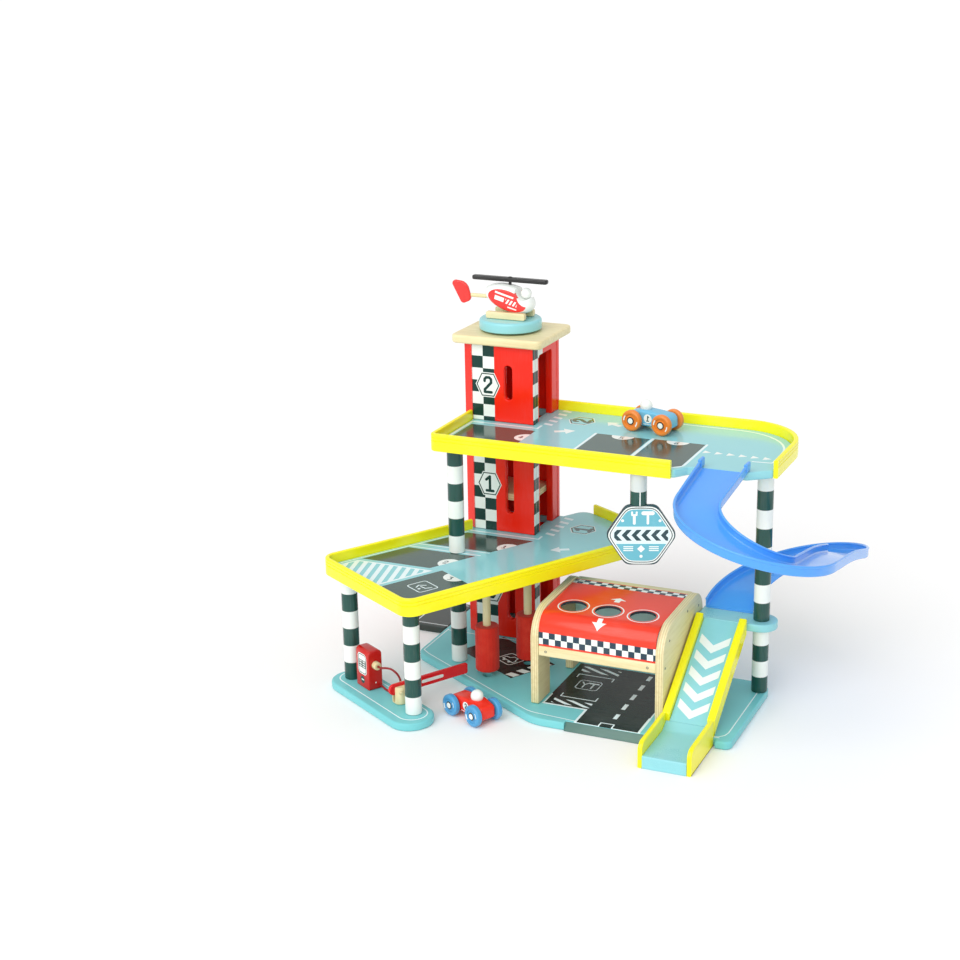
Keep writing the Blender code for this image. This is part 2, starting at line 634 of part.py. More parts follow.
def build_helicopter():
    pad_top = ROOF_TOP + PAD_LIFT + PAD_THICKNESS
    half_length = EGG_LENGTH / 2
    half_height = EGG_HEIGHT / 2
    reach_down = math.hypot(half_length * math.sin(EGG_TILT), half_height * math.cos(EGG_TILT))
    centre_z = pad_top + GAP + EGG_CLEAR + GAP + reach_down
    egg_place = Matrix.Translation((PAD_X, PAD_Y, centre_z)) @ Matrix.Rotation(EGG_TILT, 4, "Y")
    egg = ball("helicopter_body", 1.0, WHITE, egg_place, stretch=(half_length, EGG_WIDTH / 2, half_height),
               rings=16, sides=28)
    pilot_x = PAD_X + COCKPIT_AHEAD
    pilot_z = centre_z + 0.0065
    scoop_z = pilot_z - PILOT_RADIUS - GAP + COCKPIT_RADIUS
    scoop = rod("cockpit_cutter", COCKPIT_RADIUS, 2 * EGG_WIDTH, WHITE,
                upright((pilot_x, PAD_Y + EGG_WIDTH, scoop_z), (1.0, 0.0, 0.0)), cutters, 24)
    cut(egg, scoop)
    ball("helicopter_pilot", PILOT_RADIUS, WHITE, Matrix.Translation((pilot_x, PAD_Y, pilot_z)))

    rotor_z = centre_z + reach_down + ROTOR_CLEAR
    pin_depth = 0.006
    pin_place = Matrix.Translation((PAD_X, PAD_Y, rotor_z - pin_depth))
    cut(egg, rod("rotor_hole_cutter", ROTOR_PIN + RUNNING, 0.020, WHITE,
                 Matrix.Translation((PAD_X, PAD_Y, rotor_z - pin_depth - GAP)), cutters, 16))
    blade = box_outline(-ROTOR_LENGTH / 2, ROTOR_LENGTH / 2, -ROTOR_WIDTH / 2, ROTOR_WIDTH / 2, 0.0025)
    rotor = board("helicopter_rotor", [blade], ROTOR_THICKNESS, BLACK,
                  Matrix.Translation((PAD_X, PAD_Y, rotor_z)))
    join(rotor, rod("rotor_pin_guide", ROTOR_PIN, pin_depth + ROTOR_THICKNESS + 0.001, BLACK,
                    pin_place, cutters, 16))

    skid_z = pad_top + GAP
    skid_half = SKID_LENGTH / 2
    side = SKID_TRACK / 2 + SKID_WIDTH / 2
    inner = SKID_TRACK / 2 - SKID_WIDTH / 2
    rails = [(-skid_half, -side), (skid_half, -side), (skid_half, side), (-skid_half, side)]
    skids = board("helicopter_skids", [rails], SKID_HEIGHT, PLY, Matrix.Translation((PAD_X, PAD_Y, skid_z)))
    channel = [(-SKID_LENGTH, -inner), (SKID_LENGTH, -inner), (SKID_LENGTH, inner), (-SKID_LENGTH, inner)]
    cut(skids, board("skid_channel_cutter", [channel], SKID_HEIGHT, PLY,
                     Matrix.Translation((PAD_X, PAD_Y, skid_z + EGG_CLEAR)), cutters))

    boom_z = centre_z - 0.0005
    reach_side = 1.0 / math.hypot(math.cos(EGG_TILT) / half_length, math.sin(EGG_TILT) / half_height)
    boom_root = PAD_X - reach_side + BOOM_DEPTH
    boom_start = boom_root - BOOM_LENGTH
    cut(egg, rod("boom_hole_cutter", BOOM_RADIUS + GAP, 3 * BOOM_DEPTH + GAP, WHITE,
                 upright((boom_root - 3 * BOOM_DEPTH, PAD_Y, boom_z), (0.0, 1.0, 0.0)), cutters, 16))
    fin = [(-0.0240, 0.0170, 0.003), (-0.0030, 0.0150, 0.012),
           (0.0030, -0.0060, 0.006), (-0.0090, -0.0110, 0.004)]
    tail = board("helicopter_tail", [rounded(fin)], FIN_THICKNESS, RED,
                 upright((boom_start, PAD_Y + FIN_THICKNESS / 2, boom_z), (1.0, 0.0, 0.0)))
    join(tail, rod("boom_guide", BOOM_RADIUS, BOOM_LENGTH, PLY,
                   upright((boom_start, PAD_Y, boom_z), (0.0, 1.0, 0.0)), cutters, 16))


def build_columns():
    storey_clear = STOREY - BOARD - 2 * GAP
    landing_bottom = LANDING_TOP - BOARD
    runs = (("column_island_back", COLUMN_A, BASE_TOP + GAP, storey_clear),
            ("column_island_front", COLUMN_B, BASE_TOP + GAP, storey_clear),
            ("column_left_lower", COLUMN_C, BASE_TOP + GAP, storey_clear),
            ("column_left_upper", COLUMN_C, MID_TOP + GAP, storey_clear),
            ("column_right_lower", COLUMN_E, BASE_TOP + GAP, landing_bottom - BASE_TOP - 2 * GAP),
            ("column_right_upper", COLUMN_E, LANDING_TOP + GAP,
             UPPER_TOP - BOARD - LANDING_TOP - 2 * GAP))
    for name, plan, bottom, length in runs:
        rod(name, COLUMN_RADIUS, length, TEAL, Matrix.Translation((*plan, bottom)))


def build_sign():
    post_top = UPPER_TOP - BOARD - GAP
    sign_top = UPPER_TOP - BOARD - SIGN_DROP
    post_bottom = sign_top - SIGN_OVERLAP
    post = rod("sign_post", COLUMN_RADIUS, post_top - post_bottom, TEAL,
               Matrix.Translation((SIGN_POST_X, SIGN_POST_Y, post_bottom)))
    notch = box_outline(SIGN_POST_X - 0.020, SIGN_POST_X + 0.020, SIGN_POST_Y - 0.020, SIGN_POST_Y + GAP)
    cut(post, board("sign_notch_cutter", [notch], SIGN_OVERLAP + GAP + 0.010, TEAL,
                    level(post_bottom - 0.010), cutters))
    half = SIGN_WIDTH / 2
    flat = SIGN_FLAT / 2
    tall = SIGN_HEIGHT / 2
    corners = [(-flat, -tall), (flat, -tall), (half + 0.003, 0.0),
               (flat, tall), (-flat, tall), (-half - 0.003, 0.0)]
    hexagon = rounded([(*corner, SIGN_ROUNDING) for corner in corners])
    board("sign_board", [hexagon], SIGN_THICKNESS, AQUA,
          upright((SIGN_X, SIGN_POST_Y, sign_top - tall), (1.0, 0.0, 0.0)))


def build_rollers(base, deck):
    bottom = BASE_TOP - ROLLER_SOCKET + GAP
    brush_bottom = BASE_TOP + BRUSH_CLEAR
    brush_top = brush_bottom + BRUSH_LENGTH
    top = MID_TOP - BOARD + ROLLER_SOCKET - GAP
    edge = 0.0015
    profile = [(0.0, top), (ROLLER_DOWEL, top), (ROLLER_DOWEL, brush_top), (BRUSH_RADIUS - edge, brush_top),
               (BRUSH_RADIUS, brush_top - edge), (BRUSH_RADIUS, brush_bottom + edge),
               (BRUSH_RADIUS - edge, brush_bottom), (ROLLER_DOWEL, brush_bottom),
               (ROLLER_DOWEL, bottom), (0.0, bottom)]
    for label, (x, y) in zip(("front", "back"), ROLLERS):
        turned("wash_roller_" + label, profile, RED, Matrix.Translation((x, y, 0.0)), 28)
        for piece, low in ((base, BASE_TOP - ROLLER_SOCKET), (deck, MID_TOP - BOARD - 0.002)):
            cut(piece, rod(piece.name + "_socket_" + label, ROLLER_DOWEL + RUNNING,
                           ROLLER_SOCKET + 0.002, RED, Matrix.Translation((x, y, low)), cutters, 24))


def build_fuel_island():
    half = PUMP_DEPTH / 2
    face = rounded([(-half, 0.0), (half, 0.0), (half, PUMP_HEIGHT, PUMP_ROUNDING),
                    (-half, PUMP_HEIGHT, PUMP_ROUNDING)])
    outward = DECK_ALONG.cross(Vector((0.0, 0.0, 1.0)))
    start = PUMP_ACROSS - math.copysign(PUMP_WIDTH / 2, outward.dot(DECK_ACROSS))
    pump = board("pump_body", [face], PUMP_WIDTH, RED,
                 upright(wing_place(start, PUMP_ALONG, BASE_TOP + GAP), DECK_ALONG))
    pump_face = PUMP_ACROSS + PUMP_WIDTH / 2
    nozzle_z = BASE_TOP + NOZZLE_HEIGHT
    along_nozzle = upright(wing_place(pump_face - NOZZLE_DEPTH, PUMP_ALONG, nozzle_z),
                           (0.0, 0.0, 1.0), DECK_ACROSS.cross((0.0, 0.0, 1.0)))
    rod("pump_nozzle", NOZZLE_RADIUS, NOZZLE_LENGTH, PLY, along_nozzle, sides=20)
    socket = along_nozzle @ Matrix.Translation((0.0, 0.0, -GAP))
    cut(pump, rod("nozzle_socket_cutter", NOZZLE_RADIUS + GAP, NOZZLE_LENGTH + 0.010, RED, socket, cutters, 20))
    build_hose(pump_face, nozzle_z)

    block_plan = box_outline(-GATE_BLOCK_LENGTH / 2, GATE_BLOCK_LENGTH / 2,
                             -GATE_BLOCK_WIDTH / 2, GATE_BLOCK_WIDTH / 2, 0.007)
    block_place = Matrix.Translation(wing_place(GATE_ACROSS, GATE_ALONG, BASE_TOP + GAP))
    block_place = block_place @ Matrix.Rotation(DECK_TURN, 4, "Z")
    block = board("barrier_block", [block_plan], GATE_BLOCK_HEIGHT, PLY, block_place)
    slot_half = GATE_ARM_THICKNESS / 2 + GAP
    slot_floor = 0.0018
    slot = box_outline(-GATE_BLOCK_LENGTH, GATE_BLOCK_LENGTH, -slot_half, slot_half)
    cut(block, board("barrier_slot_cutter", [slot], GATE_BLOCK_HEIGHT, PLY,
                     block_place @ Matrix.Translation((0.0, 0.0, slot_floor)), cutters))
    pivot = wing_place(GATE_ACROSS, GATE_ALONG - GATE_PIVOT_BACK, BASE_TOP + GATE_PIVOT_HEIGHT)
    low = -GATE_ARM_HEIGHT / 2 + 0.0025
    arm_shape = rounded([(-GATE_TAIL, low, GATE_ARM_HEIGHT * 0.49), (GATE_ARM_LENGTH - GATE_TAIL, low, 0.001),
                         (GATE_ARM_LENGTH - GATE_TAIL, low + GATE_ARM_HEIGHT, 0.001),
                         (-GATE_TAIL, low + GATE_ARM_HEIGHT, GATE_ARM_HEIGHT * 0.49)])
    arm_place = upright(pivot, DECK_ALONG)
    arm = board("barrier_arm", [arm_shape], GATE_ARM_THICKNESS, RED,
                arm_place @ Matrix.Translation((0.0, 0.0, -GATE_ARM_THICKNESS / 2)))
    pin_length = GATE_BLOCK_WIDTH + 0.001
    pin_place = arm_place @ Matrix.Translation((0.0, 0.0, -pin_length / 2))
    join(arm, rod("barrier_pin_guide", GATE_PIN, pin_length, RED, pin_place, cutters, 16))
    cut(block, rod("barrier_pin_cutter", GATE_PIN + RUNNING, 2 * pin_length, RED,
                   arm_place @ Matrix.Translation((0.0, 0.0, -pin_length)), cutters, 16))


def smooth_route(points, steps):
    """A Catmull-Rom curve through points, sampled at equal parts of each stretch."""
    padded = [points[0] * 2 - points[1]] + points + [points[-1] * 2 - points[-2]]
    route = []
    for index in range(1, len(padded) - 2):
        before, start, end, after = padded[index - 1:index + 3]
        for step in range(steps):
            t = step / steps
            route.append(0.5 * (2 * start + (end - before) * t
                                + (2 * before - 5 * start + 4 * end - after) * t * t
                                + (3 * start - before - 3 * end + after) * t ** 3))
    route.append(points[-1])
    return route


def build_hose(pump_face, nozzle_z):
    """The hose leaves the pump's side low down, lies on the island and rises to the nozzle's end."""
    lying = BASE_TOP + HOSE_RADIUS + 2 * GAP
    nozzle_end = pump_face + NOZZLE_LENGTH - NOZZLE_DEPTH
    outlet = BASE_TOP + 0.0045
    spots = ((pump_face + GAP, 0.0050, outlet), (pump_face + 0.0045, 0.0050, outlet - 0.0002),
             (pump_face + 0.0110, 0.0055, outlet - 0.0018), (pump_face + 0.0180, 0.0065, lying),
             (pump_face + 0.0240, 0.0080, lying + 0.0006), (pump_face + 0.0295, 0.0105, lying + 0.0045),
             (pump_face + 0.0322, 0.0120, lying + 0.0110), (pump_face + 0.0325, 0.0115, lying + 0.0190),
             (pump_face + 0.0305, 0.0085, lying + 0.0260), (pump_face + 0.0255, 0.0050, lying + 0.0300),
             (pump_face + 0.0190, 0.0020, nozzle_z + 0.0022), (pump_face + 0.0120, 0.0, nozzle_z + 0.0003),
             (nozzle_end + GAP, 0.0, nozzle_z))
    points = smooth_route([wing_place(n, PUMP_ALONG + s, z) for n, s, z in spots], 2)
    curve = bpy.data.curves.new("pump_hose", "CURVE")
    curve.dimensions = "3D"
    curve.bevel_depth = HOSE_RADIUS
    curve.bevel_resolution = 2
    curve.use_fill_caps = True
    spline = curve.splines.new("POLY")
    spline.points.add(len(points) - 1)
    for slot, point in zip(spline.points, points):
        slot.co = (*point, 1.0)
    curve.materials.append(paint("pump_hose_paint", (0.35, 0.01, 0.01), 0.5))
    hose = bpy.data.objects.new("pump_hose", curve)
    parts.objects.link(hose)


def shop_top(y):
    return BASE_TOP + SHOP_FRONT_HEIGHT + (y - SHOP_FRONT) * SHOP_RISE


def build_workshop():
    floor = BASE_TOP + GAP
    top_corners = [(SHOP_BACK, shop_top(SHOP_BACK), SHOP_BACK_ROUNDING),
                   (SHOP_FRONT, shop_top(SHOP_FRONT), SHOP_FRONT_ROUNDING)]
    solid = rounded([(SHOP_FRONT, floor, 0.002), (SHOP_BACK, floor, 0.002)] + top_corners)
    board("workshop_right_side", [solid], SHOP_WALL, PLY,
          upright((SHOP_RIGHT - SHOP_WALL, 0.0, 0.0), (0.0, 1.0, 0.0)))
    arch_top = BASE_TOP + SHOP_ARCH_HEIGHT
    arch = rounded([(SHOP_FRONT, floor, 0.002), (SHOP_FRONT + SHOP_LEG, floor, 0.002),
                    (SHOP_FRONT + SHOP_LEG, arch_top, SHOP_ARCH_ROUNDING),
                    (SHOP_BACK - SHOP_LEG, arch_top, SHOP_ARCH_ROUNDING),
                    (SHOP_BACK - SHOP_LEG, floor, 0.002), (SHOP_BACK, floor, 0.002)] + top_corners)
    board("workshop_left_side", [arch], SHOP_WALL, PLY, upright((SHOP_LEFT, 0.0, 0.0), (0.0, 1.0, 0.0)))

    inner_left = SHOP_LEFT + SHOP_WALL + GAP
    inner_width = SHOP_RIGHT - SHOP_WALL - GAP - inner_left
    across = upright((inner_left, 0.0, 0.0), (0.0, 1.0, 0.0))
    beam_bottom = BASE_TOP + SHOP_BEAM_BOTTOM
    beam_top = beam_bottom + SHOP_BEAM_HEIGHT
    beam_front = SHOP_FRONT + 0.001
    beam = box_outline(beam_front, beam_front + SHOP_BEAM_DEPTH, beam_bottom, beam_top, 0.001)
    board("workshop_front_beam", [beam], inner_width, PLY, across)

    path = [(SHOP_SHEET_END, shop_top(SHOP_SHEET_END)),
            (SHOP_FRONT, shop_top(SHOP_FRONT), SHOP_FRONT_ROUNDING),
            (SHOP_FRONT, beam_top + GAP)]
    sheet = rounded(beside(path, -SHOP_INSET), closed=False)
    sheet += reversed(rounded(beside(path, -SHOP_INSET - SHOP_SHEET), closed=False))
    roof = board("workshop_roof", [sheet], inner_width, ORANGE_RED, across)
    tilt = math.atan(SHOP_RISE)
    middle = (SHOP_LEFT + SHOP_RIGHT) / 2
    for index in (-1, 0, 1):
        spot = Vector((middle + index * ROOF_HOLE_PITCH, ROOF_HOLE_Y, shop_top(ROOF_HOLE_Y)))
        place = Matrix.Translation(spot) @ Matrix.Rotation(tilt, 4, "X")
        cut(roof, rod("roof_hole_cutter_%d" % (index + 2), ROOF_HOLE_RADIUS, 2 * ROOF_HOLE_RADIUS, RED,
                      place @ Matrix.Translation((0.0, 0.0, -ROOF_HOLE_RADIUS)), cutters, 28))

    beam_start = SHOP_SHEET_END + (SHOP_INSET + SHOP_SHEET) * SHOP_RISE + GAP
    beam_end = beam_start + SHOP_BACK_BEAM_DEPTH
    under = shop_top(beam_start) - SHOP_INSET - SHOP_BACK_BEAM_HEIGHT
    back_beam = [(beam_start, under), (beam_end, under), (beam_end, shop_top(beam_end) - SHOP_INSET - 0.001),
                 (beam_start, shop_top(beam_start) - SHOP_INSET)]
    board("workshop_back_beam", [back_beam], inner_width, PLY, across)


def ramp_height(y):
    return LANDING_TOP + (y - LANDING_FRONT) * RAMP_SLOPE


def build_ramp():
    landing_back = LANDING_FRONT + LANDING_WIDTH
    landing_right = COLUMN_E[0] + LANDING_LIP
    landing = rounded([(SHOP_RIGHT + GAP, LANDING_FRONT), (landing_right, LANDING_FRONT, LANDING_LIP),
                       (landing_right, landing_back, LANDING_LIP), (SHOP_RIGHT + GAP, landing_back, 0.002)])
    board("landing_board", [landing], BOARD, AQUA, level(LANDING_TOP - BOARD))

    back = LANDING_FRONT - GAP
    front = RAMP_BAY_EDGE + GAP
    floor = BASE_TOP + GAP
    under_meets_floor = LANDING_FRONT + (floor - LANDING_TOP + RAMP_BOARD) / RAMP_SLOPE

    def slope_outline(rise, end):
        return [(end, floor), (under_meets_floor, floor), (back, ramp_height(back) - RAMP_BOARD),
                (back, ramp_height(back) + rise), (end, ramp_height(end) + rise)]

    board("ramp_board", [slope_outline(0.0, front)], RAMP_RIGHT - RAMP_LEFT - 2 * (RAMP_RAIL + GAP), AQUA,
          upright((RAMP_LEFT + RAMP_RAIL + GAP, 0.0, 0.0), (0.0, 1.0, 0.0)))
    for label, left in (("left", RAMP_LEFT), ("right", RAMP_RIGHT - RAMP_RAIL)):
        board("ramp_rail_" + label, [slope_outline(RAMP_RAIL_RISE, front + 0.001)], RAMP_RAIL, YELLOW,
              upright((left, 0.0, 0.0), (0.0, 1.0, 0.0)))

    foot_back = RAMP_BAY_EDGE - GAP
    run_in = ramp_height(foot_back)
    tread = rounded([(foot_back, 0.0), (foot_back, run_in), (foot_back - 0.012, FOOT_FLOOR, 0.015),
                     (FOOT_FRONT, FOOT_FLOOR, 0.001), (FOOT_FRONT, 0.0)])
    foot = board("ramp_foot", [tread], RAMP_RIGHT - RAMP_LEFT - 2 * FOOT_CHEEK + 0.001, AQUA,
                 upright((RAMP_LEFT + FOOT_CHEEK - 0.0005, 0.0, 0.0), (0.0, 1.0, 0.0)))
    cheek = rounded([(foot_back, 0.0), (foot_back, FOOT_TOP + 0.001, 0.002),
                     (FOOT_FRONT, FOOT_TOP - 0.001, 0.010), (FOOT_FRONT, 0.0)])
    for label, left in (("left", RAMP_LEFT), ("right", RAMP_RIGHT - FOOT_CHEEK)):
        join(foot, board("foot_cheek_" + label, [cheek], FOOT_CHEEK, YELLOW,
                         upright((left, 0.0, 0.0), (0.0, 1.0, 0.0)), cutters))


def slide_point(run):
    """Plan position and heading after a run along the slide's middle line."""
    front_turn = math.pi * SLIDE_FRONT_RADIUS
    start_y = SLIDE_MOUTH_Y - GAP
    if run < SLIDE_STRAIGHT:
        return Vector((SLIDE_X, start_y - run, 0.0)), -math.pi / 2
    run -= SLIDE_STRAIGHT
    front_y = start_y - SLIDE_STRAIGHT
    if run < front_turn:
        angle = math.pi + run / SLIDE_FRONT_RADIUS
        centre = Vector((SLIDE_X + SLIDE_FRONT_RADIUS, front_y, 0.0))
        radius = SLIDE_FRONT_RADIUS
    else:
        run -= front_turn
        far_x = SLIDE_X + 2 * SLIDE_FRONT_RADIUS
        if run < SLIDE_SIDE:
            return Vector((far_x, front_y + run, 0.0)), math.pi / 2
        run -= SLIDE_SIDE
        angle = run / SLIDE_REAR_RADIUS
        centre = Vector((far_x - SLIDE_REAR_RADIUS, front_y + SLIDE_SIDE, 0.0))
        radius = SLIDE_REAR_RADIUS
    return centre + Vector((math.cos(angle), math.sin(angle), 0.0)) * radius, angle + math.pi / 2


def eased(values, share):
    """A smooth curve through values at equal steps, read at a share of the whole."""
    steps = len(values) - 1
    place = min(share * steps, steps - 1e-9)
    index = int(place)
    t = place - index
    start = values[index]
    end = values[index + 1]
    before = values[index - 1] if index > 0 else 2 * start - end
    after = values[index + 2] if index + 2 <= steps else 2 * end - start
    return 0.5 * (2 * start + (end - before) * t + (2 * before - 5 * start + 4 * end - after) * t * t
                  + (3 * start - before - 3 * end + after) * t ** 3)


def slide_ring(share):
    length = SLIDE_STRAIGHT + SLIDE_SIDE + math.pi * (SLIDE_FRONT_RADIUS + SLIDE_REAR_RADIUS)
    place, heading = slide_point(share * length)
    end_z = LANDING_TOP + GAP + SLIDE_FLOOR
    place.z = UPPER_TOP + (end_z - UPPER_TOP) * eased(SLIDE_FALL, share)
    inner = eased(SLIDE_HALF_WIDTHS, share)
    outer = inner + SLIDE_WALL
    left = Vector((-math.sin(heading), math.cos(heading), 0.0))
    top = SLIDE_WALL_HEIGHT
    section = ((-outer, -SLIDE_FLOOR), (outer, -SLIDE_FLOOR), (outer, top), (inner, top),
               (inner, 0.0015), (inner - 0.0015, 0.0), (0.0015 - inner, 0.0), (-inner, 0.0015),
               (-inner, top), (-outer, top))
    return [place + left * side + Vector((0.0, 0.0, rise)) for side, rise in section]


def build_slide():
    length = SLIDE_STRAIGHT + SLIDE_SIDE + math.pi * (SLIDE_FRONT_RADIUS + SLIDE_REAR_RADIUS)
    seam = 0.5 * GAP / length
    spans = (("slide_upper", 0.0, SLIDE_SPLIT - seam), ("slide_lower", SLIDE_SPLIT + seam, 1.0))
    for name, first, last in spans:
        count = round(SLIDE_STATIONS * (last - first))
        shares = [first + (last - first) * step / count for step in range(count + 1)]
        slide = from_stations(name, [slide_ring(share) for share in shares], SLIDE_BLUE)
        if first == 0.0:
            lug_x = SLIDE_HALF_WIDTHS[0] + SLIDE_WALL / 2
            for label, x in (("left", SLIDE_X - lug_x), ("right", SLIDE_X + lug_x)):
                half = SLIDE_WALL / 2 + 0.0005
                lug = box_outline(x - half, x + half, SLIDE_MOUTH_Y - 0.005, SLIDE_MOUTH_Y + SLIDE_LUG, 0.0018)
                join(slide, board("slide_lug_" + label, [lug], SLIDE_WALL_HEIGHT + 0.001, SLIDE_BLUE,
                                  level(UPPER_TOP + GAP), cutters))


def build_car(name, x, y, floor, heading, body_colour, wheel_colour):
    place = Matrix.Translation((x, y, floor + GAP)) @ Matrix.Rotation(heading, 4, "Z")
    half = CAR_BODY_WIDTH / 2
    tail = -CAR_WHEELBASE / 2 - CAR_OVERHANG
    nose = CAR_WHEELBASE / 2 + CAR_OVERHANG
    shape = rounded([(tail, CAR_CLEAR, 0.003), (nose, CAR_CLEAR, 0.003), (nose, CAR_BONNET, 0.006),
                     (0.0110, CAR_CREST, 0.010), (-0.0060, CAR_WAIST, 0.012), (tail, CAR_BOOT, 0.008)])
    body = board(name + "_body", [shape], CAR_BODY_WIDTH, body_colour,
                 place @ upright((0.0, half, 0.0), (1.0, 0.0, 0.0)))
    head_place = place @ Matrix.Translation((CAR_HEAD_AHEAD, 0.0, CAR_HEAD_HEIGHT))
    join(body, ball(name + "_head_guide", CAR_HEAD, WHITE, head_place, cutters, rings=10, sides=16))
    outside = CAR_TRACK / 2 + CAR_WHEEL_THICKNESS / 2
    inside = CAR_TRACK / 2 - CAR_WHEEL_THICKNESS / 2
    edge = 0.0015
    side = [(0.0, outside), (0.0045, outside), (0.0052, outside - 0.0012), (0.0070, outside - 0.0012),
            (0.0077, outside), (CAR_WHEEL_RADIUS - edge, outside), (CAR_WHEEL_RADIUS, outside - edge),
            (CAR_WHEEL_RADIUS, inside + edge), (CAR_WHEEL_RADIUS - edge, inside), (CAR_AXLE, inside)]
    profile = side + [(radius, -height) for radius, height in reversed(side)]
    for label, along in (("front", CAR_WHEELBASE / 2), ("rear", -CAR_WHEELBASE / 2)):
        axle = place @ Matrix.Translation((along, 0.0, CAR_WHEEL_RADIUS)) @ Matrix.Rotation(math.pi / 2, 4, "X")
        turned(name + "_" + label + "_wheels", profile, wheel_colour, axle, 24)
        cut(body, rod(name + "_" + label + "_axle_cutter", CAR_AXLE + RUNNING, 2 * CAR_BODY_WIDTH, body_colour,
                      axle @ Matrix.Translation((0.0, 0.0, -CAR_BODY_WIDTH)), cutters, 16))


base_plate = build_base()
middle_deck = build_middle_deck()
build_upper_deck()
build_tower()
build_roof()
build_helicopter()
build_columns()
build_sign()
build_rollers(base_plate, middle_deck)
build_fuel_island()
build_workshop()
build_ramp()
build_slide()
build_car("red_car", *RED_CAR, 0.0, math.radians(-26.4), ORANGE_RED, SKY)
build_car("blue_car", *BLUE_CAR, UPPER_TOP, math.radians(170.0), SKY, ORANGE)
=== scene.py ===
# Wooden toy garage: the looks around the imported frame.
import json
from math import atan2, cos, hypot, pi, radians, sin, tan

import bmesh
import bpy
import numpy as np
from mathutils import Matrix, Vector
from mathutils.geometry import tessellate_polygon


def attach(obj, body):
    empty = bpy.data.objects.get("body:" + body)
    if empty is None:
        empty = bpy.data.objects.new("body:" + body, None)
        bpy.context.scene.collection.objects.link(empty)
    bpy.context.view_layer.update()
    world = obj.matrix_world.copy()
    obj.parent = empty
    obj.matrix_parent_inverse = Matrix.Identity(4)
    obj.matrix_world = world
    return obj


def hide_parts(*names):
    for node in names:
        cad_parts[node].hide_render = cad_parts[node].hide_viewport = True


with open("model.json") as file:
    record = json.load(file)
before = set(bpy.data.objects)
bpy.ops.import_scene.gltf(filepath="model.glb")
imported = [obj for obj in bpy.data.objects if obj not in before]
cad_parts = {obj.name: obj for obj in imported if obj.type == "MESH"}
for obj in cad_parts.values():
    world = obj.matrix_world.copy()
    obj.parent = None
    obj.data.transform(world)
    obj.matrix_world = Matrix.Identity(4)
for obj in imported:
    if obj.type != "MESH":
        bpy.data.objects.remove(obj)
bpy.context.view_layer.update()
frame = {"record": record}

bodyOf = {node: body for body, nodes in frame["record"]["behaviour"]["bodies"].items() for node in nodes}

# camera
cameraSetup = {
    "lens": 66.55, "shift": (-0.1115, 0.0087), "place": (0.6694, -1.7364, 0.8369), "tilt": 71.842, "turn": 21.37}


def makeCamera(setup):
    data = bpy.data.cameras.new("camera")
    data.lens = setup["lens"]
    data.sensor_width = 36.0
    data.shift_x, data.shift_y = setup["shift"]
    data.clip_start, data.clip_end = 0.05, 20.0
    camera = bpy.data.objects.new("camera", data)
    camera.location = setup["place"]
    camera.rotation_euler = (radians(setup["tilt"]), 0.0, radians(setup["turn"]))
    bpy.context.scene.collection.objects.link(camera)
    bpy.context.scene.camera = camera


makeCamera(cameraSetup)
print("camera set")


# shader sums
def tint(red, green, blue):
    # a colour as seen on a screen, 0 to 255, made linear: ((c + 0.055) / 1.055) to the power 2.4
    return tuple(((c / 255 + 0.055) / 1.055) ** 2.4 for c in (red, green, blue)) + (1.0,)


class Field:
    # a number, colour or vector that changes over a surface; the usual signs add their nodes
    def __init__(self, recipe, socket):
        self.recipe = recipe
        self.socket = socket

    def __add__(self, other):
        return self.recipe.maths("ADD", self, other)

    def __radd__(self, other):
        return self.recipe.maths("ADD", other, self)

    def __sub__(self, other):
        return self.recipe.maths("SUBTRACT", self, other)

    def __rsub__(self, other):
        return self.recipe.maths("SUBTRACT", other, self)

    def __mul__(self, other):
        return self.recipe.maths("MULTIPLY", self, other)

    def __rmul__(self, other):
        return self.recipe.maths("MULTIPLY", other, self)

    def __truediv__(self, other):
        return self.recipe.maths("DIVIDE", self, other)

    def __lt__(self, other):
        return self.recipe.maths("LESS_THAN", self, other)

    def __gt__(self, other):
        return self.recipe.maths("GREATER_THAN", self, other)

    def __abs__(self):
        return self.recipe.maths("ABSOLUTE", self)

    def least(self, other):
        return self.recipe.maths("MINIMUM", self, other)

    def most(self, *others):
        # the largest of all, which for masks is their union
        largest = self
        for other in others:
            largest = self.recipe.maths("MAXIMUM", largest, other)
        return largest

    def power(self, other):
        return self.recipe.maths("POWER", self, other)

    def fraction(self):
        return self.recipe.maths("FRACT", self)

    def floor(self):
        return self.recipe.maths("FLOOR", self)


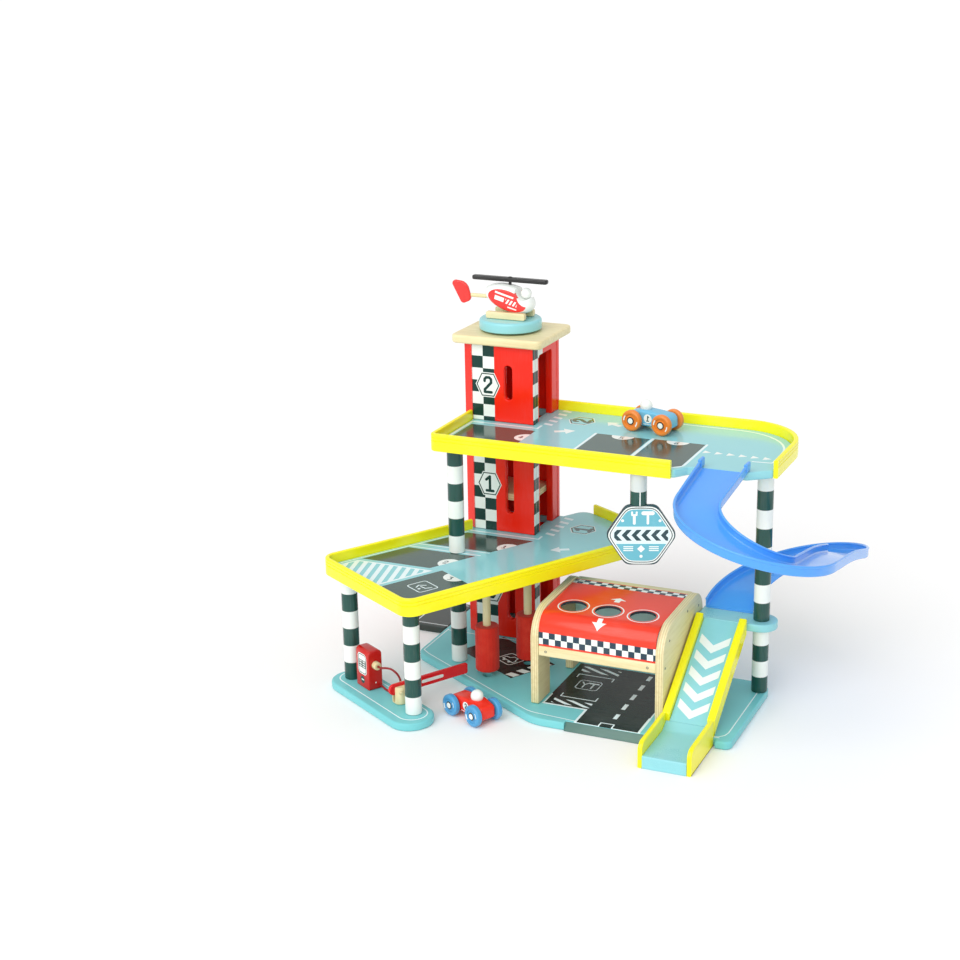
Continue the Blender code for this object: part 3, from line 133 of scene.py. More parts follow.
class Recipe:
    # one material: its nodes, the point on the piece, and the marks that can be printed on it
    def __init__(self, name):
        self.material = bpy.data.materials.new(name)
        self.material.use_nodes = True
        self.tree = self.material.node_tree
        self.shader = self.tree.nodes["Principled BSDF"]
        coords = self.node("ShaderNodeTexCoord")
        self.point = Field(self, coords.outputs["Object"])
        self.x, self.y, self.z = self.parts(self.point)
        self.facing = self.parts(Field(self, coords.outputs["Normal"]))

    def node(self, kind, settings=None, sockets=None):
        made = self.tree.nodes.new(kind)
        for key, value in (settings or {}).items():
            setattr(made, key, value)
        for key, value in (sockets or {}).items():
            if isinstance(value, Field):
                self.tree.links.new(value.socket, made.inputs[key])
            else:
                made.inputs[key].default_value = value
        return made

    def link(self, name, value):
        self.tree.links.new(value.socket, self.shader.inputs[name])

    def finish(self, colour, rough, height, look):
        # link what varies over the surface, and set what is the same all over it
        self.link("Base Color", colour)
        self.link("Roughness", rough)
        bump = self.node("ShaderNodeBump", None,
                         {"Height": height, "Strength": look["bump"], "Distance": look["depth"]})
        self.link("Normal", Field(self, bump.outputs[0]))
        for name, value in look["fixed"].items():
            self.shader.inputs[name].default_value = value
        return self.material

    def parts(self, vector):
        split = self.node("ShaderNodeSeparateXYZ", None, {0: vector})
        return [Field(self, split.outputs[axis]) for axis in range(3)]

    def maths(self, operation, *values):
        return Field(self, self.node("ShaderNodeMath", {"operation": operation}, dict(enumerate(values))).outputs[0])

    def vector(self, operation, *values):
        made = self.node("ShaderNodeVectorMath", {"operation": operation}, dict(enumerate(values)))
        return Field(self, made.outputs["Value" if operation in ("LENGTH", "DOT_PRODUCT") else "Vector"])

    def scaled(self, vector, by):
        made = self.node("ShaderNodeVectorMath", {"operation": "SCALE"}, {0: vector, "Scale": by})
        return Field(self, made.outputs[0])

    def plane(self, u, v):
        return Field(self, self.node("ShaderNodeCombineXYZ", None, {0: u, 1: v, 2: 0.0}).outputs[0])

    def mix(self, share, first, second):
        made = self.node("ShaderNodeMix", {"data_type": "RGBA"}, {0: share, 6: first, 7: second})
        return Field(self, made.outputs[2])

    def noise(self, scale, detail=2.0, rough=0.5, stretch=None):
        # smooth noise from 0 to 1; stretch sets how many times finer it is along each axis
        where = self.point if stretch is None else self.vector("MULTIPLY", self.point, stretch)
        made = self.node("ShaderNodeTexNoise", None,
                         {"Vector": where, "Scale": scale, "Detail": detail, "Roughness": rough})
        return Field(self, made.outputs["Fac"])

    def ramp(self, value, stops):
        made = self.node("ShaderNodeValToRGB", None, {0: value})
        ramp = made.color_ramp
        while len(ramp.elements) < len(stops):
            ramp.elements.new(0.5)
        for element, (place, colour) in zip(ramp.elements, stops):
            element.position = place
            element.color = colour
        return Field(self, made.outputs["Color"])

    def box(self, u, v, left, right, low, high):
        # 1 inside a rectangle: both distances from its middle less than its half sides
        across = abs(u - (left + right) / 2) - (right - left) / 2
        up = abs(v - (low + high) / 2) - (high - low) / 2
        return across.most(up) < 0.0

    def boxes(self, u, v, *sides):
        first, *others = [self.box(u, v, *side) for side in sides]
        return first.most(*others)

    def disc(self, u, v, centre, radius):
        # 1 within a radius of the centre
        return self.vector("LENGTH", self.plane(u - centre[0], v - centre[1])) < radius

    def discs(self, u, v, *spots):
        # each spot is its centre and its radius
        first, *others = [self.disc(u, v, (a, b), radius) for a, b, radius in spots]
        return first.most(*others)

    def strokes(self, spot, points, width, closed=False):
        # 1 within half a width of a line: the spot's distance to the nearest point of each of its stretches
        ends = points[1:] + points[:1] if closed else points[1:]
        nearest = None
        for start, end in zip(points, ends):
            ahead = self.vector("SUBTRACT", spot, (*start, 0.0))
            run = (end[0] - start[0], end[1] - start[1], 0.0)
            along = self.vector("DOT_PRODUCT", ahead, run) / (run[0] ** 2 + run[1] ** 2)
            share = along.most(0.0).least(1.0)
            away = self.vector("LENGTH", self.vector("SUBTRACT", ahead, self.scaled(run, share)))
            nearest = away if nearest is None else nearest.least(away)
        return nearest < width / 2

    def drawn(self, spot, *lines):
        # 1 on any of the lines, each given as its points, its width and, where it closes, True
        first, *others = [self.strokes(spot, *line) for line in lines]
        return first.most(*others)

    def shape(self, u, v, corners):
        # 1 inside a convex outline whose corners run anticlockwise: left of every side
        inside = None
        for (ax, ay), (bx, by) in zip(corners, corners[1:] + corners[:1]):
            length = hypot(bx - ax, by - ay)
            side = (u - ax) * ((by - ay) / length) - (v - ay) * ((bx - ax) / length)
            inside = side if inside is None else inside.most(side)
        return inside < 0.0

    def checks(self, u, v, size):
        # 1 on every other square: the two counts of squares add up to an odd number
        count = (u / size).floor() + (v / size).floor()
        return (count * 0.5).fraction() > 0.25


arcStep = radians(7.5)
arcShare = 0.49
digitLines = {
    "0": [(.14, .2), (.14, .8), (.24, .95), (.44, .95), (.54, .8), (.54, .2), (.44, .05), (.24, .05), (.14, .2)],
    "1": [(.12, .74), (.36, .95), (.36, .05), (.14, .05), (.58, .05)],
    "2": [(.13, .72), (.13, .84), (.24, .95), (.44, .95), (.55, .84), (.55, .64), (.14, .2), (.14, .05), (.57, .05)],
    "3": [(.12, .95), (.55, .95), (.32, .58), (.55, .46), (.55, .16), (.42, .05), (.12, .05)],
    "4": [(.46, .05), (.46, .95), (.1, .32), (.64, .32)],
    "5": [(.55, .95), (.15, .95), (.13, .54), (.44, .58), (.56, .46), (.56, .17), (.43, .05), (.12, .07)],
    "6": [(.5, .95), (.2, .7), (.12, .4), (.14, .15), (.26, .05), (.46, .05), (.57, .17), (.57, .36), (.46, .48),
          (.16, .44)]}


def numeral(recipe, u, v, digit, centre, height, turn=0.0, weight=0.17):
    # a numeral's strokes, turned by an angle about its centre
    c, s = cos(turn) * height, sin(turn) * height
    points = [(centre[0] + (a - .34) * c - (b - .5) * s, centre[1] + (a - .34) * s + (b - .5) * c)
              for a, b in digitLines[digit]]
    return recipe.strokes(recipe.plane(u, v), points, height * weight)


def cornerArc(before, here, after, radius, cut=None):
    # the arc that touches both sides of a corner: half = half the corner's angle, reach = radius / tan half,
    # centre = corner + the middle direction * radius / sin half; an outline's arc keeps to half of each side
    before, here, after = (np.array(point[:2], float) for point in (before, here, after))
    back, ahead = before - here, after - here
    longBack, longAhead = np.linalg.norm(back), np.linalg.norm(ahead)
    back, ahead = back / longBack, ahead / longAhead
    half = np.arccos(np.clip(back @ ahead, -1, 1)) / 2
    reach = radius / tan(half)
    if cut is None:
        reach = min(reach, arcShare * longBack, arcShare * longAhead)
        radius = reach * tan(half)
    centre = here + (back + ahead) / np.linalg.norm(back + ahead) * radius / sin(half)
    first = atan2(*(here + back * reach - centre)[::-1])
    last = atan2(*(here + ahead * reach - centre)[::-1])
    sweep = (last - first + pi) % (2 * pi) - pi
    count = max(3, int(abs(sweep) / arcStep + 0.01) + 2) if cut is None else cut + 2
    angles = first + sweep * np.linspace(0, 1, count)
    return centre + radius * np.stack([np.cos(angles), np.sin(angles)], 1)


def softened(corners, closed, cut=None):
    # corners (x, y) or (x, y, radius), each sharp or an arc
    points = []
    for index, corner in enumerate(corners):
        radius = corner[2] if len(corner) > 2 else 0.0
        if radius <= 0 or (not closed and index in (0, len(corners) - 1)):
            points.append(np.array(corner[:2], float)[None])
        else:
            points.append(cornerArc(corners[index - 1], corner, corners[(index + 1) % len(corners)], radius, cut))
    return np.concatenate(points)


def softLine(corners, closed=False, cut=2):
    # a printed line's points, with a few short stretches round each corner
    return [tuple(point) for point in softened(corners, closed, cut)]


def rounded(corners, closed=True):
    # an outline's points, with an arc of small steps at each corner
    return softened(corners, closed)


# finishes
colours = {
    "yellow": tint(252, 244, 18), "aqua": tint(142, 208, 214), "slate": tint(50, 80, 73), "mat": tint(34, 46, 42),
    "bandDark": tint(26, 76, 68), "white": tint(238, 243, 238), "line": tint(228, 244, 246), "red": tint(244, 36, 14),
    "checkDark": tint(12, 56, 50), "roofRed": tint(236, 56, 30), "navy": tint(28, 56, 74), "ply": tint(234, 220, 172),
    "plyDark": tint(212, 194, 138), "slide": tint(78, 162, 244), "pump": tint(196, 20, 10), "hose": tint(150, 16, 22),
    "gate": tint(226, 24, 30), "carRed": tint(240, 42, 20), "carBlue": tint(104, 182, 216),
    "wheelBlue": tint(78, 156, 206), "wheelOrange": tint(232, 132, 46), "lip": tint(80, 116, 108),
    "signTeal": tint(104, 182, 198), "signDark": tint(34, 66, 72), "rotor": tint(30, 30, 29),
    "finRed": tint(244, 54, 50), "felt": tint(226, 52, 36), "steel": tint(150, 148, 138), "plate": tint(46, 56, 52),
    "hatch": tint(120, 200, 206), "ground": tint(122, 202, 206), "plyLight": tint(244, 234, 194),
    "pore": tint(186, 158, 104), "plyLayer": tint(176, 148, 92), "hoseDust": tint(120, 16, 24),
    "bandSeam": tint(70, 90, 88), "signBand": tint(222, 244, 244), "postLight": tint(206, 214, 212),
    # the roof holes' dark wall colour is painted shade
    "feltDeep": tint(204, 34, 24), "feltPale": tint(238, 84, 62), "shadedHoleWall": tint(46, 60, 70),
    # the back board's pale aqua is painted light, brighter than paint would look in the shade it stands in
    "litBackBoard": tint(196, 250, 252), "steelDark": tint(92, 90, 84), "slideDeep": tint(66, 146, 236),
    "floor": tint(248, 248, 248), "floorShade": tint(244, 244, 244)}
lacquerLook = {
    "cloud": 22.0, "fibre": 55.0, "peelSize": 1400.0, "variation": 0.03, "peel": 0.018, "grain": 0.02, "bump": 0.35,
    "depth": 0.002, "fixed": {"Specular IOR Level": 0.40, "Coat Weight": 0.15, "Coat Roughness": 0.12}}
baseLook = {**lacquerLook, "fixed": {**lacquerLook["fixed"], "Specular IOR Level": 0.16, "Coat Weight": 0.0}}
deckLook = {
    **lacquerLook, "variation": 0.02, "peel": 0.012, "grain": 0.01,
    "fixed": {**lacquerLook["fixed"], "Specular IOR Level": 0.45, "Coat Weight": 0.22}}
towerLook = {
    **lacquerLook, "variation": 0.02, "grain": 0.012,
    "fixed": {**lacquerLook["fixed"], "Specular IOR Level": 0.28, "Coat Weight": 0.06}}
birchLook = {
    "fine": 9.0, "long": 0.7, "streaks": 30.0, "pores": 190.0, "cloud": 14.0, "bump": 0.22, "depth": 0.0012,
    "stops": (0.22, 0.52, 0.85), "fixed": {"Coat Weight": 0.12, "Coat Roughness": 0.25}}
alongX, alongRail, upright = (1.0, 14.0, 14.0), (14.0, 1.0, 14.0), (14.0, 14.0, 1.0)


def lacquer(recipe, colour, roughness=0.28, grain=alongX, look=lacquerLook):
    # sprayed paint over wood: a slightly uneven colour, faint grain standing through it and a fine orange peel
    cloud = recipe.noise(look["cloud"], 3.0)
    fibre = recipe.noise(look["fibre"], 4.0, 0.6, grain)
    peel = recipe.noise(look["peelSize"], 1.0)
    change = (cloud - 0.5) * look["variation"] + (fibre - 0.5) * look["variation"] * 0.6
    shaded = recipe.mix(change.most(0.0) * 3.0, colour, (1.0, 1.0, 1.0, 1.0))
    shaded = recipe.mix((change * -1.0).most(0.0) * 4.0, shaded, (0.0, 0.0, 0.0, 1.0))
    rough = roughness + (cloud - 0.5) * 0.10 + (peel - 0.5) * 0.04
    return recipe.finish(shaded, rough, fibre * look["grain"] + peel * look["peel"], look)


def painted(name, colour, roughness=0.28, grain=alongX):
    return lacquer(Recipe(name), colour, roughness, grain)


def birch(name, along, layered=None, look=birchLook):
    # birch plywood under clear lacquer: long grain with pores along one axis, and where a face looks
    # across the board's thickness, its glued layers in turn light and dark
    recipe = Recipe(name)
    stretch = tuple(look["long"] if axis == along else look["fine"] for axis in "xyz")
    streak = recipe.noise(look["streaks"], 6.0, 0.62, stretch)
    pores = recipe.noise(look["pores"], 2.0, 0.5, stretch)
    cloud = recipe.noise(look["cloud"], 2.0)
    shades = (colours["plyDark"], colours["ply"], colours["plyLight"])
    wood = recipe.ramp(streak * 0.75 + cloud * 0.25, list(zip(look["stops"], shades)))
    wood = recipe.mix((pores > 0.68) * 0.14, wood, colours["pore"])
    if layered:
        axis, start, step = layered
        number = "xyz".index(axis)
        place = (recipe.x, recipe.y, recipe.z)[number]
        wave = (((place - start) / (2 * step)).fraction() > 0.5) * 0.42
        wood = recipe.mix(wave * (abs(recipe.facing[number]) < 0.6), wood, colours["plyLayer"])
    return recipe.finish(wood, 0.42 + (streak - 0.5) * 0.16, streak * 0.5 + pores * 0.3, look)


# meshes
seat = 0.0003    # the clearance between boards


def beside(corners, distance):
    # an open path moved to its right with its arcs kept round the same centres
    lines = [np.subtract(b[:2], a[:2]) / np.linalg.norm(np.subtract(b[:2], a[:2]))
             for a, b in zip(corners, corners[1:])]
    moved = []
    for index, corner in enumerate(corners):
        before, after = lines[max(index - 1, 0)], lines[min(index, len(lines) - 1)]
        sideBefore, sideAfter = np.array((before[1], -before[0])), np.array((after[1], -after[0]))
        across = (sideBefore + sideAfter) / np.linalg.norm(sideBefore + sideAfter)
        place = np.array(corner[:2]) + across * distance / (across @ sideAfter)
        radius = corner[2] if len(corner) > 2 else 0.0
        turn = before[0] * after[1] - before[1] * after[0]
        radius = max(radius + (distance if turn > 0 else -distance), 0.0) if radius > 0 else 0.0
        moved.append((place[0], place[1], radius))
    return moved


def boxLine(lowX, highX, lowY, highY, radius=0.0):
    return rounded([(lowX, lowY, radius), (highX, lowY, radius), (highX, highY, radius), (lowX, highY, radius)])


def circleLine(x, y, radius, sides=48):
    angles = np.linspace(0, 2 * pi, sides, endpoint=False)
    return np.stack([x + radius * np.cos(angles), y + radius * np.sin(angles)], 1)


def inward(loop, distance):
    # every point of a closed outline moves to its left, along the mean of its two sides' normals over its cosine
    ahead = np.roll(loop, -1, 0) - loop
    ahead /= np.linalg.norm(ahead, axis=1)[:, None]
    left = np.stack([-ahead[:, 1], ahead[:, 0]], 1)
    mean = left + np.roll(left, 1, 0)
    mean /= np.linalg.norm(mean, axis=1)[:, None]
    return loop + mean * (distance / np.maximum((mean * left).sum(1), 0.3))[:, None]


def area(loop):
    following = np.roll(loop, -1, 0)
    return 0.5 * np.sum(loop[:, 0] * following[:, 1] - loop[:, 1] * following[:, 0])


def makeMesh(name, points, faces, sharp=35.0):
    mesh = bpy.data.meshes.new(name)
    mesh.from_pydata(np.asarray(points).reshape(-1, 3).tolist(), [], faces)
    form = bmesh.new()
    form.from_mesh(mesh)
    bmesh.ops.remove_doubles(form, verts=form.verts, dist=1e-7)
    bmesh.ops.recalc_face_normals(form, faces=form.faces)
    if form.calc_volume(signed=True) < 0:
        bmesh.ops.reverse_faces(form, faces=form.faces)
    form.to_mesh(mesh)
    form.free()
    mesh.shade_smooth()
    mesh.set_sharp_from_angle(angle=radians(sharp))
    piece = bpy.data.objects.new(name, mesh)
    bpy.context.scene.collection.objects.link(piece)
    return piece


def standing(origin, across, up=(0, 0, 1)):
    # outline axes in the world: the third is across x up
    across, up = np.array(across, float), np.array(up, float)
    across, up = across / np.linalg.norm(across), up / np.linalg.norm(up)
    return np.array(origin, float), across, up, np.cross(across, up)


def crosswise(x, y=0.0, z=0.0):
    # outlines in (y, z), with their thickness along x from here on
    return standing((x, y, z), (0, 1, 0))


def lengthwise(y, x=0.0, z=0.0):
    # outlines in (x, z), with their thickness towards -y from here on
    return standing((x, y, z), (1, 0, 0))


def lying(z, x=0.0, y=0.0, turn=0.0):
    # outlines in (x, y), turned about z, with their thickness upwards
    c, s = cos(turn), sin(turn)
    return np.array((x, y, z)), np.array((c, s, 0.0)), np.array((-s, c, 0.0)), np.array((0.0, 0.0, 1.0))


def slab(name, loops, thickness, place, ease=0.001, rows=4):
    # a board: each outline is carried along a quarter circle at both arrises, inset = ease (1 - sin a) and
    # height = ease (1 - cos a), and both faces are filled between the outline and its holes
    loops = [np.asarray(loop) if (area(np.asarray(loop)) > 0) == (index == 0) else np.asarray(loop)[::-1]
             for index, loop in enumerate(loops)]
    angles = np.linspace(0, pi / 2, rows)
    inset = ease * (1 - np.sin(angles))
    height = ease * (1 - np.cos(angles))
    insets = np.concatenate([[ease + 0.0003], inset, inset[::-1], [ease + 0.0003]])
    heights = np.concatenate([[0.0], height, thickness - height[::-1], [thickness]])
    origin, across, up, out = place
    points, faces, bottom, top = [], [], [], []
    first = 0
    for loop in loops:
        count = len(loop)
        for row, (move, rise) in enumerate(zip(insets, heights)):
            flat = inward(loop, move)
            points.append(origin + flat[:, :1] * across + flat[:, 1:] * up + rise * out)
            if row:
                low = first + (row - 1) * count + np.arange(count)
                high = first + row * count + np.arange(count)
                faces += np.stack([low, np.roll(low, -1), np.roll(high, -1), high], 1).tolist()
            ends = (bottom if row == 0 else top if row == len(insets) - 1 else None)
            if ends is not None:
                ends.append((flat, first + row * count))
        first += count * len(insets)
    for ends in (bottom, top):
        numbers = np.concatenate([start + np.arange(len(flat)) for flat, start in ends])
        triangles = tessellate_polygon([[Vector((*p, 0.0)) for p in flat] for flat, _ in ends])
        faces += [[int(numbers[i]) for i in triangle] for triangle in triangles]
    return makeMesh(name, np.concatenate(points), faces)


def gridBody(name, grid, sharp=35.0):
    # rows of rings, joined ring to ring, with both end rings filled
    rows, count = grid.shape[:2]
    numbers = np.arange(rows * count).reshape(rows, count)
    following = np.roll(numbers, -1, 1)
    faces = np.stack([numbers[:-1], following[:-1], following[1:], numbers[1:]], -1).reshape(-1, 4).tolist()
    faces += [numbers[0][::-1].tolist(), numbers[-1].tolist()]
    return makeMesh(name, grid.reshape(-1, 3), faces, sharp)


def lathe(name, profile, place, sides=56):
    # a turned piece: radius r and height z of the profile, as (r cos a, r sin a, z) round the axis
    profile = np.asarray(profile)
    angles = np.linspace(0, 2 * pi, sides, endpoint=False)
    origin, across, up, out = place
    ring = np.cos(angles)[:, None] * across + np.sin(angles)[:, None] * up
    grid = origin + profile[:, :1, None] * ring[None] + profile[:, 1, None, None] * out
    return gridBody(name, grid)


def railBody(name, corners, section, z):
    # a section of (sideways, height) points carried along a path: each point runs on its own parallel line
    lines = [rounded(beside(corners, side), closed=False) for side, _ in section]
    grid = np.stack([np.concatenate([line, np.full((len(line), 1), z + rise)], 1)
                     for line, (_, rise) in zip(lines, section)], 1)
    return gridBody(name, grid, sharp=30.0)


def rod(name, radius, low, high, place, sides):
    # a plain turned cutter or stick with flat ends
    return lathe(name, [(0, low), (radius, low), (radius, high), (0, high)], place, sides)


def sphere(name, radius, place, sides):
    # a half circle from pole to pole turned round the axis
    angles = np.linspace(-pi / 2, pi / 2, 25)
    return lathe(name, np.stack([radius * np.cos(angles), radius * np.sin(angles)], 1), place, sides)


def settle(piece, material, node, replace=True):
    # paint, then ride on the node's own body, and stand for the node
    piece.data.materials.clear()
    piece.data.materials.append(material)
    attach(piece, bodyOf[node])
    if replace:
        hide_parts(node)
    return piece


# fuel hose, the only cord
wingTurn = radians(59.2)
alongWing = np.array((cos(wingTurn), sin(wingTurn)))
acrossWing = np.array((sin(wingTurn), -cos(wingTurn)))
towerCorner = np.array((-0.095, 0.050))


def onWing(across, along, radius=0.0):
    place = towerCorner + across * acrossWing + along * alongWing
    return (place[0], place[1], radius)


pumpSize = {"across": -0.0128, "along": -0.22025, "width": 0.0266, "depth": 0.0177, "height": 0.046}
hoseSize = {
    "radius": 0.0012, "gap": 0.0003, "outlet": 0.0135, "lying": 0.0108, "nozzleZ": 0.0386, "nozzleOut": 0.006,
    "rubber": {"bump": 0.1, "depth": 0.0004, "fixed": {}}}


def makeHose(size):
    # leaves the pump's side low down, touches the island, and rises in one loop to the nozzle's end
    face = pumpSize["across"] + pumpSize["width"] / 2
    flat, end, hang = size["lying"], size["nozzleZ"], size["outlet"]
    spots = ((face + size["gap"], .0050, hang), (face + .0045, .0050, hang - .0002),
             (face + .0110, .0055, hang - .0018),
             (face + .0180, .0065, flat), (face + .0240, .0080, flat + .0006), (face + .0295, .0105, flat + .0045),
             (face + .0322, .0120, flat + .0110), (face + .0325, .0115, flat + .0190),
             (face + .0305, .0085, flat + .0260),
             (face + .0255, .0050, flat + .0300), (face + .0190, .0020, end + .0022), (face + .0120, 0.0, end + seat),
             (face + size["nozzleOut"] + size["gap"], 0.0, end))
    spots = np.array([(*onWing(n, pumpSize["along"] + s)[:2], z) for n, s, z in spots])
    padded = np.concatenate([[2 * spots[0] - spots[1]], spots, [2 * spots[-1] - spots[-2]]])
    share = np.linspace(0, 1, 6, endpoint=False)[:, None]
    route = []
    for a, b, c, d in zip(padded, padded[1:], padded[2:], padded[3:]):
        # Catmull-Rom: half of 2b + (c - a) t + (2a - 5b + 4c - d) t^2 + (3b - a - 3c + d) t^3
        route.append(0.5 * (2 * b + (c - a) * share + (2 * a - 5 * b + 4 * c - d) * share ** 2
                            + (3 * b - a - 3 * c + d) * share ** 3))
    route = np.concatenate(route + [spots[-1:]])
    curve = bpy.data.curves.new("fuelHose", "CURVE")
    curve.dimensions = "3D"
    curve.bevel_depth = size["radius"]
    curve.bevel_resolution = 4
    curve.use_fill_caps = True
    spline = curve.splines.new("POLY")
    spline.points.add(len(route) - 1)
    spline.points.foreach_set("co", np.concatenate([route, np.ones((len(route), 1))], 1).ravel())
    hose = bpy.data.objects.new("fuelHose", curve)
    bpy.context.scene.collection.objects.link(hose)
    recipe = Recipe("hoseRubber")
    dust = recipe.noise(400.0, 2.0)
    rubber = recipe.finish(recipe.mix(dust * 0.3, colours["hose"], colours["hoseDust"]), 0.36 + dust * 0.15, dust,
                           size["rubber"])
    settle(hose, rubber, "pump_hose")
    length = float(np.linalg.norm(np.diff(route, axis=0), axis=1).sum())
    return hose, spots[0], length


def makeNozzle(size):
    # a turned wooden dowel with a soft outer rim and a dark mouth for the hose
    face = pumpSize["across"] + pumpSize["width"] / 2
    start = (*onWing(face - 0.006, pumpSize["along"])[:2], size["nozzleZ"])
    place = standing(start, (0, 0, 1), np.cross((*acrossWing, 0.0), (0, 0, 1)))
    profile = rounded([(0.0, 0.0), (0.0045, 0.0, 0.0006), (0.0045, 0.0095), (0.0040, 0.0098), (0.0040, 0.0102),
                       (0.0045, 0.0105), (0.0045, 0.0120, 0.0012), (0.0018, 0.0120), (0.0018, 0.0110), (0.0, 0.0110)],
                       closed=False)
    return settle(lathe("fuelNozzle", profile, place, 40), birch("nozzleWood", "x"), "pump_nozzle")


fuelHose, hoseExit, hoseLength = makeHose(hoseSize)
fuelNozzle = makeNozzle(hoseSize)
print("hose laid, %.1f mm" % (hoseLength * 1000))


# base boards
baseSize = {
    "left": -0.212, "right": 0.199, "back": 0.130, "front": -0.1425, "slant": -0.126, "board": 0.009, "ease": 0.0016,
    "rollers": ((-0.1082, -0.0578), (-0.0788, -0.0100)), "dowel": 0.0045}
levels = {"base": 0.009, "mid": 0.142, "upper": 0.275, "landing": 0.094}
standOn = levels["base"] + seat


def wingPoint(recipe):
    # the point in the middle deck's own directions
    x, y = recipe.x - float(towerCorner[0]), recipe.y - float(towerCorner[1])
    across = x * float(acrossWing[0]) + y * float(acrossWing[1])
    along = x * float(alongWing[0]) + y * float(alongWing[1])
    return across, along


def frameLine(left, right, low, high, radius):
    # a closed rectangle with soft corners
    return softLine([(left, low, radius), (right, low, radius), (right, high, radius), (left, high, radius)], True)


basePrint = {
    "mat": (-.034, .068, -.0845, -.022), "stripes": (.0550, .0668, -.0835, -.024), "stripeStep": .0152,
    "shopStep": .0215,
    "badge": ((frameLine(.0110, .0370, -.0655, -.0420, .004), .0013, True),
              ([(.0150, -.0580), (.0150, -.0520), (.0200, -.0515), (.0225, -.0465), (.0290, -.0465), (.0310, -.0515),
                (.0335, -.0530), (.0335, -.0580)], .0013, True)),
    "badgeWheels": ((.0195, -.0595, .0020), (.0290, -.0595, .0020)),
    "shop": ((-.0215, .1025, -.104, .011), (.0285, .1025, -.1365, -.10)),
    "strips": ((-.014, .031, -.099, -.087), (-.014, .031, -.010, .004)), "dashes": (.064, .0686, -.114, .004),
    "dashStep": .0268,
    "shopLines": (([(-.0208, -.078), (-.0208, -.1033), (.0292, -.1033), (.0292, -.1362), (.056, -.1362), (.056, -.1275),
                    (.071, -.1275), (.071, -.1362), (.1018, -.1362), (.1018, .010)], .0016),
                  ([(-.0208, -.1033), (.0292, -.1033), (.0292, -.1362)], .0028),
                  ([(.1016, -.1362), (.1016, -.100)], .0030),
                  ([(-.010, -.072), (-.010, -.080), (.031, -.080), (.031, -.072)], .0014),
                  ([(-.012, -.026), (-.012, -.018), (.030, -.018), (.030, -.026)], .0014),
                  (frameLine(-.004, .022, -.055, -.032, .004), .0011, True),
                  ([(.004, -.051), (.004, -.043), (.000, -.037)], .0016), ([(.004, -.043), (.008, -.037)], .0016),
                  ([(.014, -.051), (.014, -.038)], .0018), ([(.0095, -.038), (.0185, -.038)], .003)),
    "around": ((softLine([onWing(-.048, -.1193), onWing(.150, -.1193, .040), (.0285, -.134)]), .0013),
               ([(-.2075, .047), (-.2075, -.0195), onWing(-.048, -.1193)[:2]], .0013),
               ([(-.2075, .0445), (-.098, .0445)], .0013),
               (softLine([(.190, .028), (.190, -.1165, .015), (.184, -.1165)]), .0013))}


def basePaint(marks):
    # aqua with the wash's and the workshop's dark mats, their plain pictograms and a white line along the edge
    recipe = Recipe("basePaint")
    x, y = recipe.x, recipe.y
    spot = recipe.plane(x, y)
    n, s = wingPoint(recipe)
    colour = recipe.mix(recipe.box(n, s, *marks["mat"]), colours["ground"], colours["mat"])
    stripes = recipe.box(n, s, *marks["stripes"]) * (((s - n * 0.3) / marks["stripeStep"]).fraction() > 0.42)
    badge = recipe.drawn(recipe.plane(n, s), *marks["badge"]).most(recipe.discs(n, s, *marks["badgeWheels"]))
    colour = recipe.mix(stripes.most(badge), colour, colours["white"])
    shop = recipe.boxes(x, y, *marks["shop"])
    colour = recipe.mix(shop, colour, colours["mat"])
    slope = (((x + y * 2.07) / marks["shopStep"]).fraction() > 0.58) * recipe.boxes(x, y, *marks["strips"])
    dashes = recipe.box(x, y, *marks["dashes"]) * (((y + .1155) / marks["dashStep"]).fraction() < 0.52)
    colour = recipe.mix(recipe.drawn(spot, *marks["shopLines"]).most(slope, dashes), colour, colours["line"])
    colour = recipe.mix(recipe.drawn(spot, *marks["around"]) * (1.0 - shop), colour, colours["line"])
    colour = recipe.mix(recipe.facing[2] > 0.5, colours["ground"], colour)
    return lacquer(recipe, colour, 0.24, alongX, baseLook)


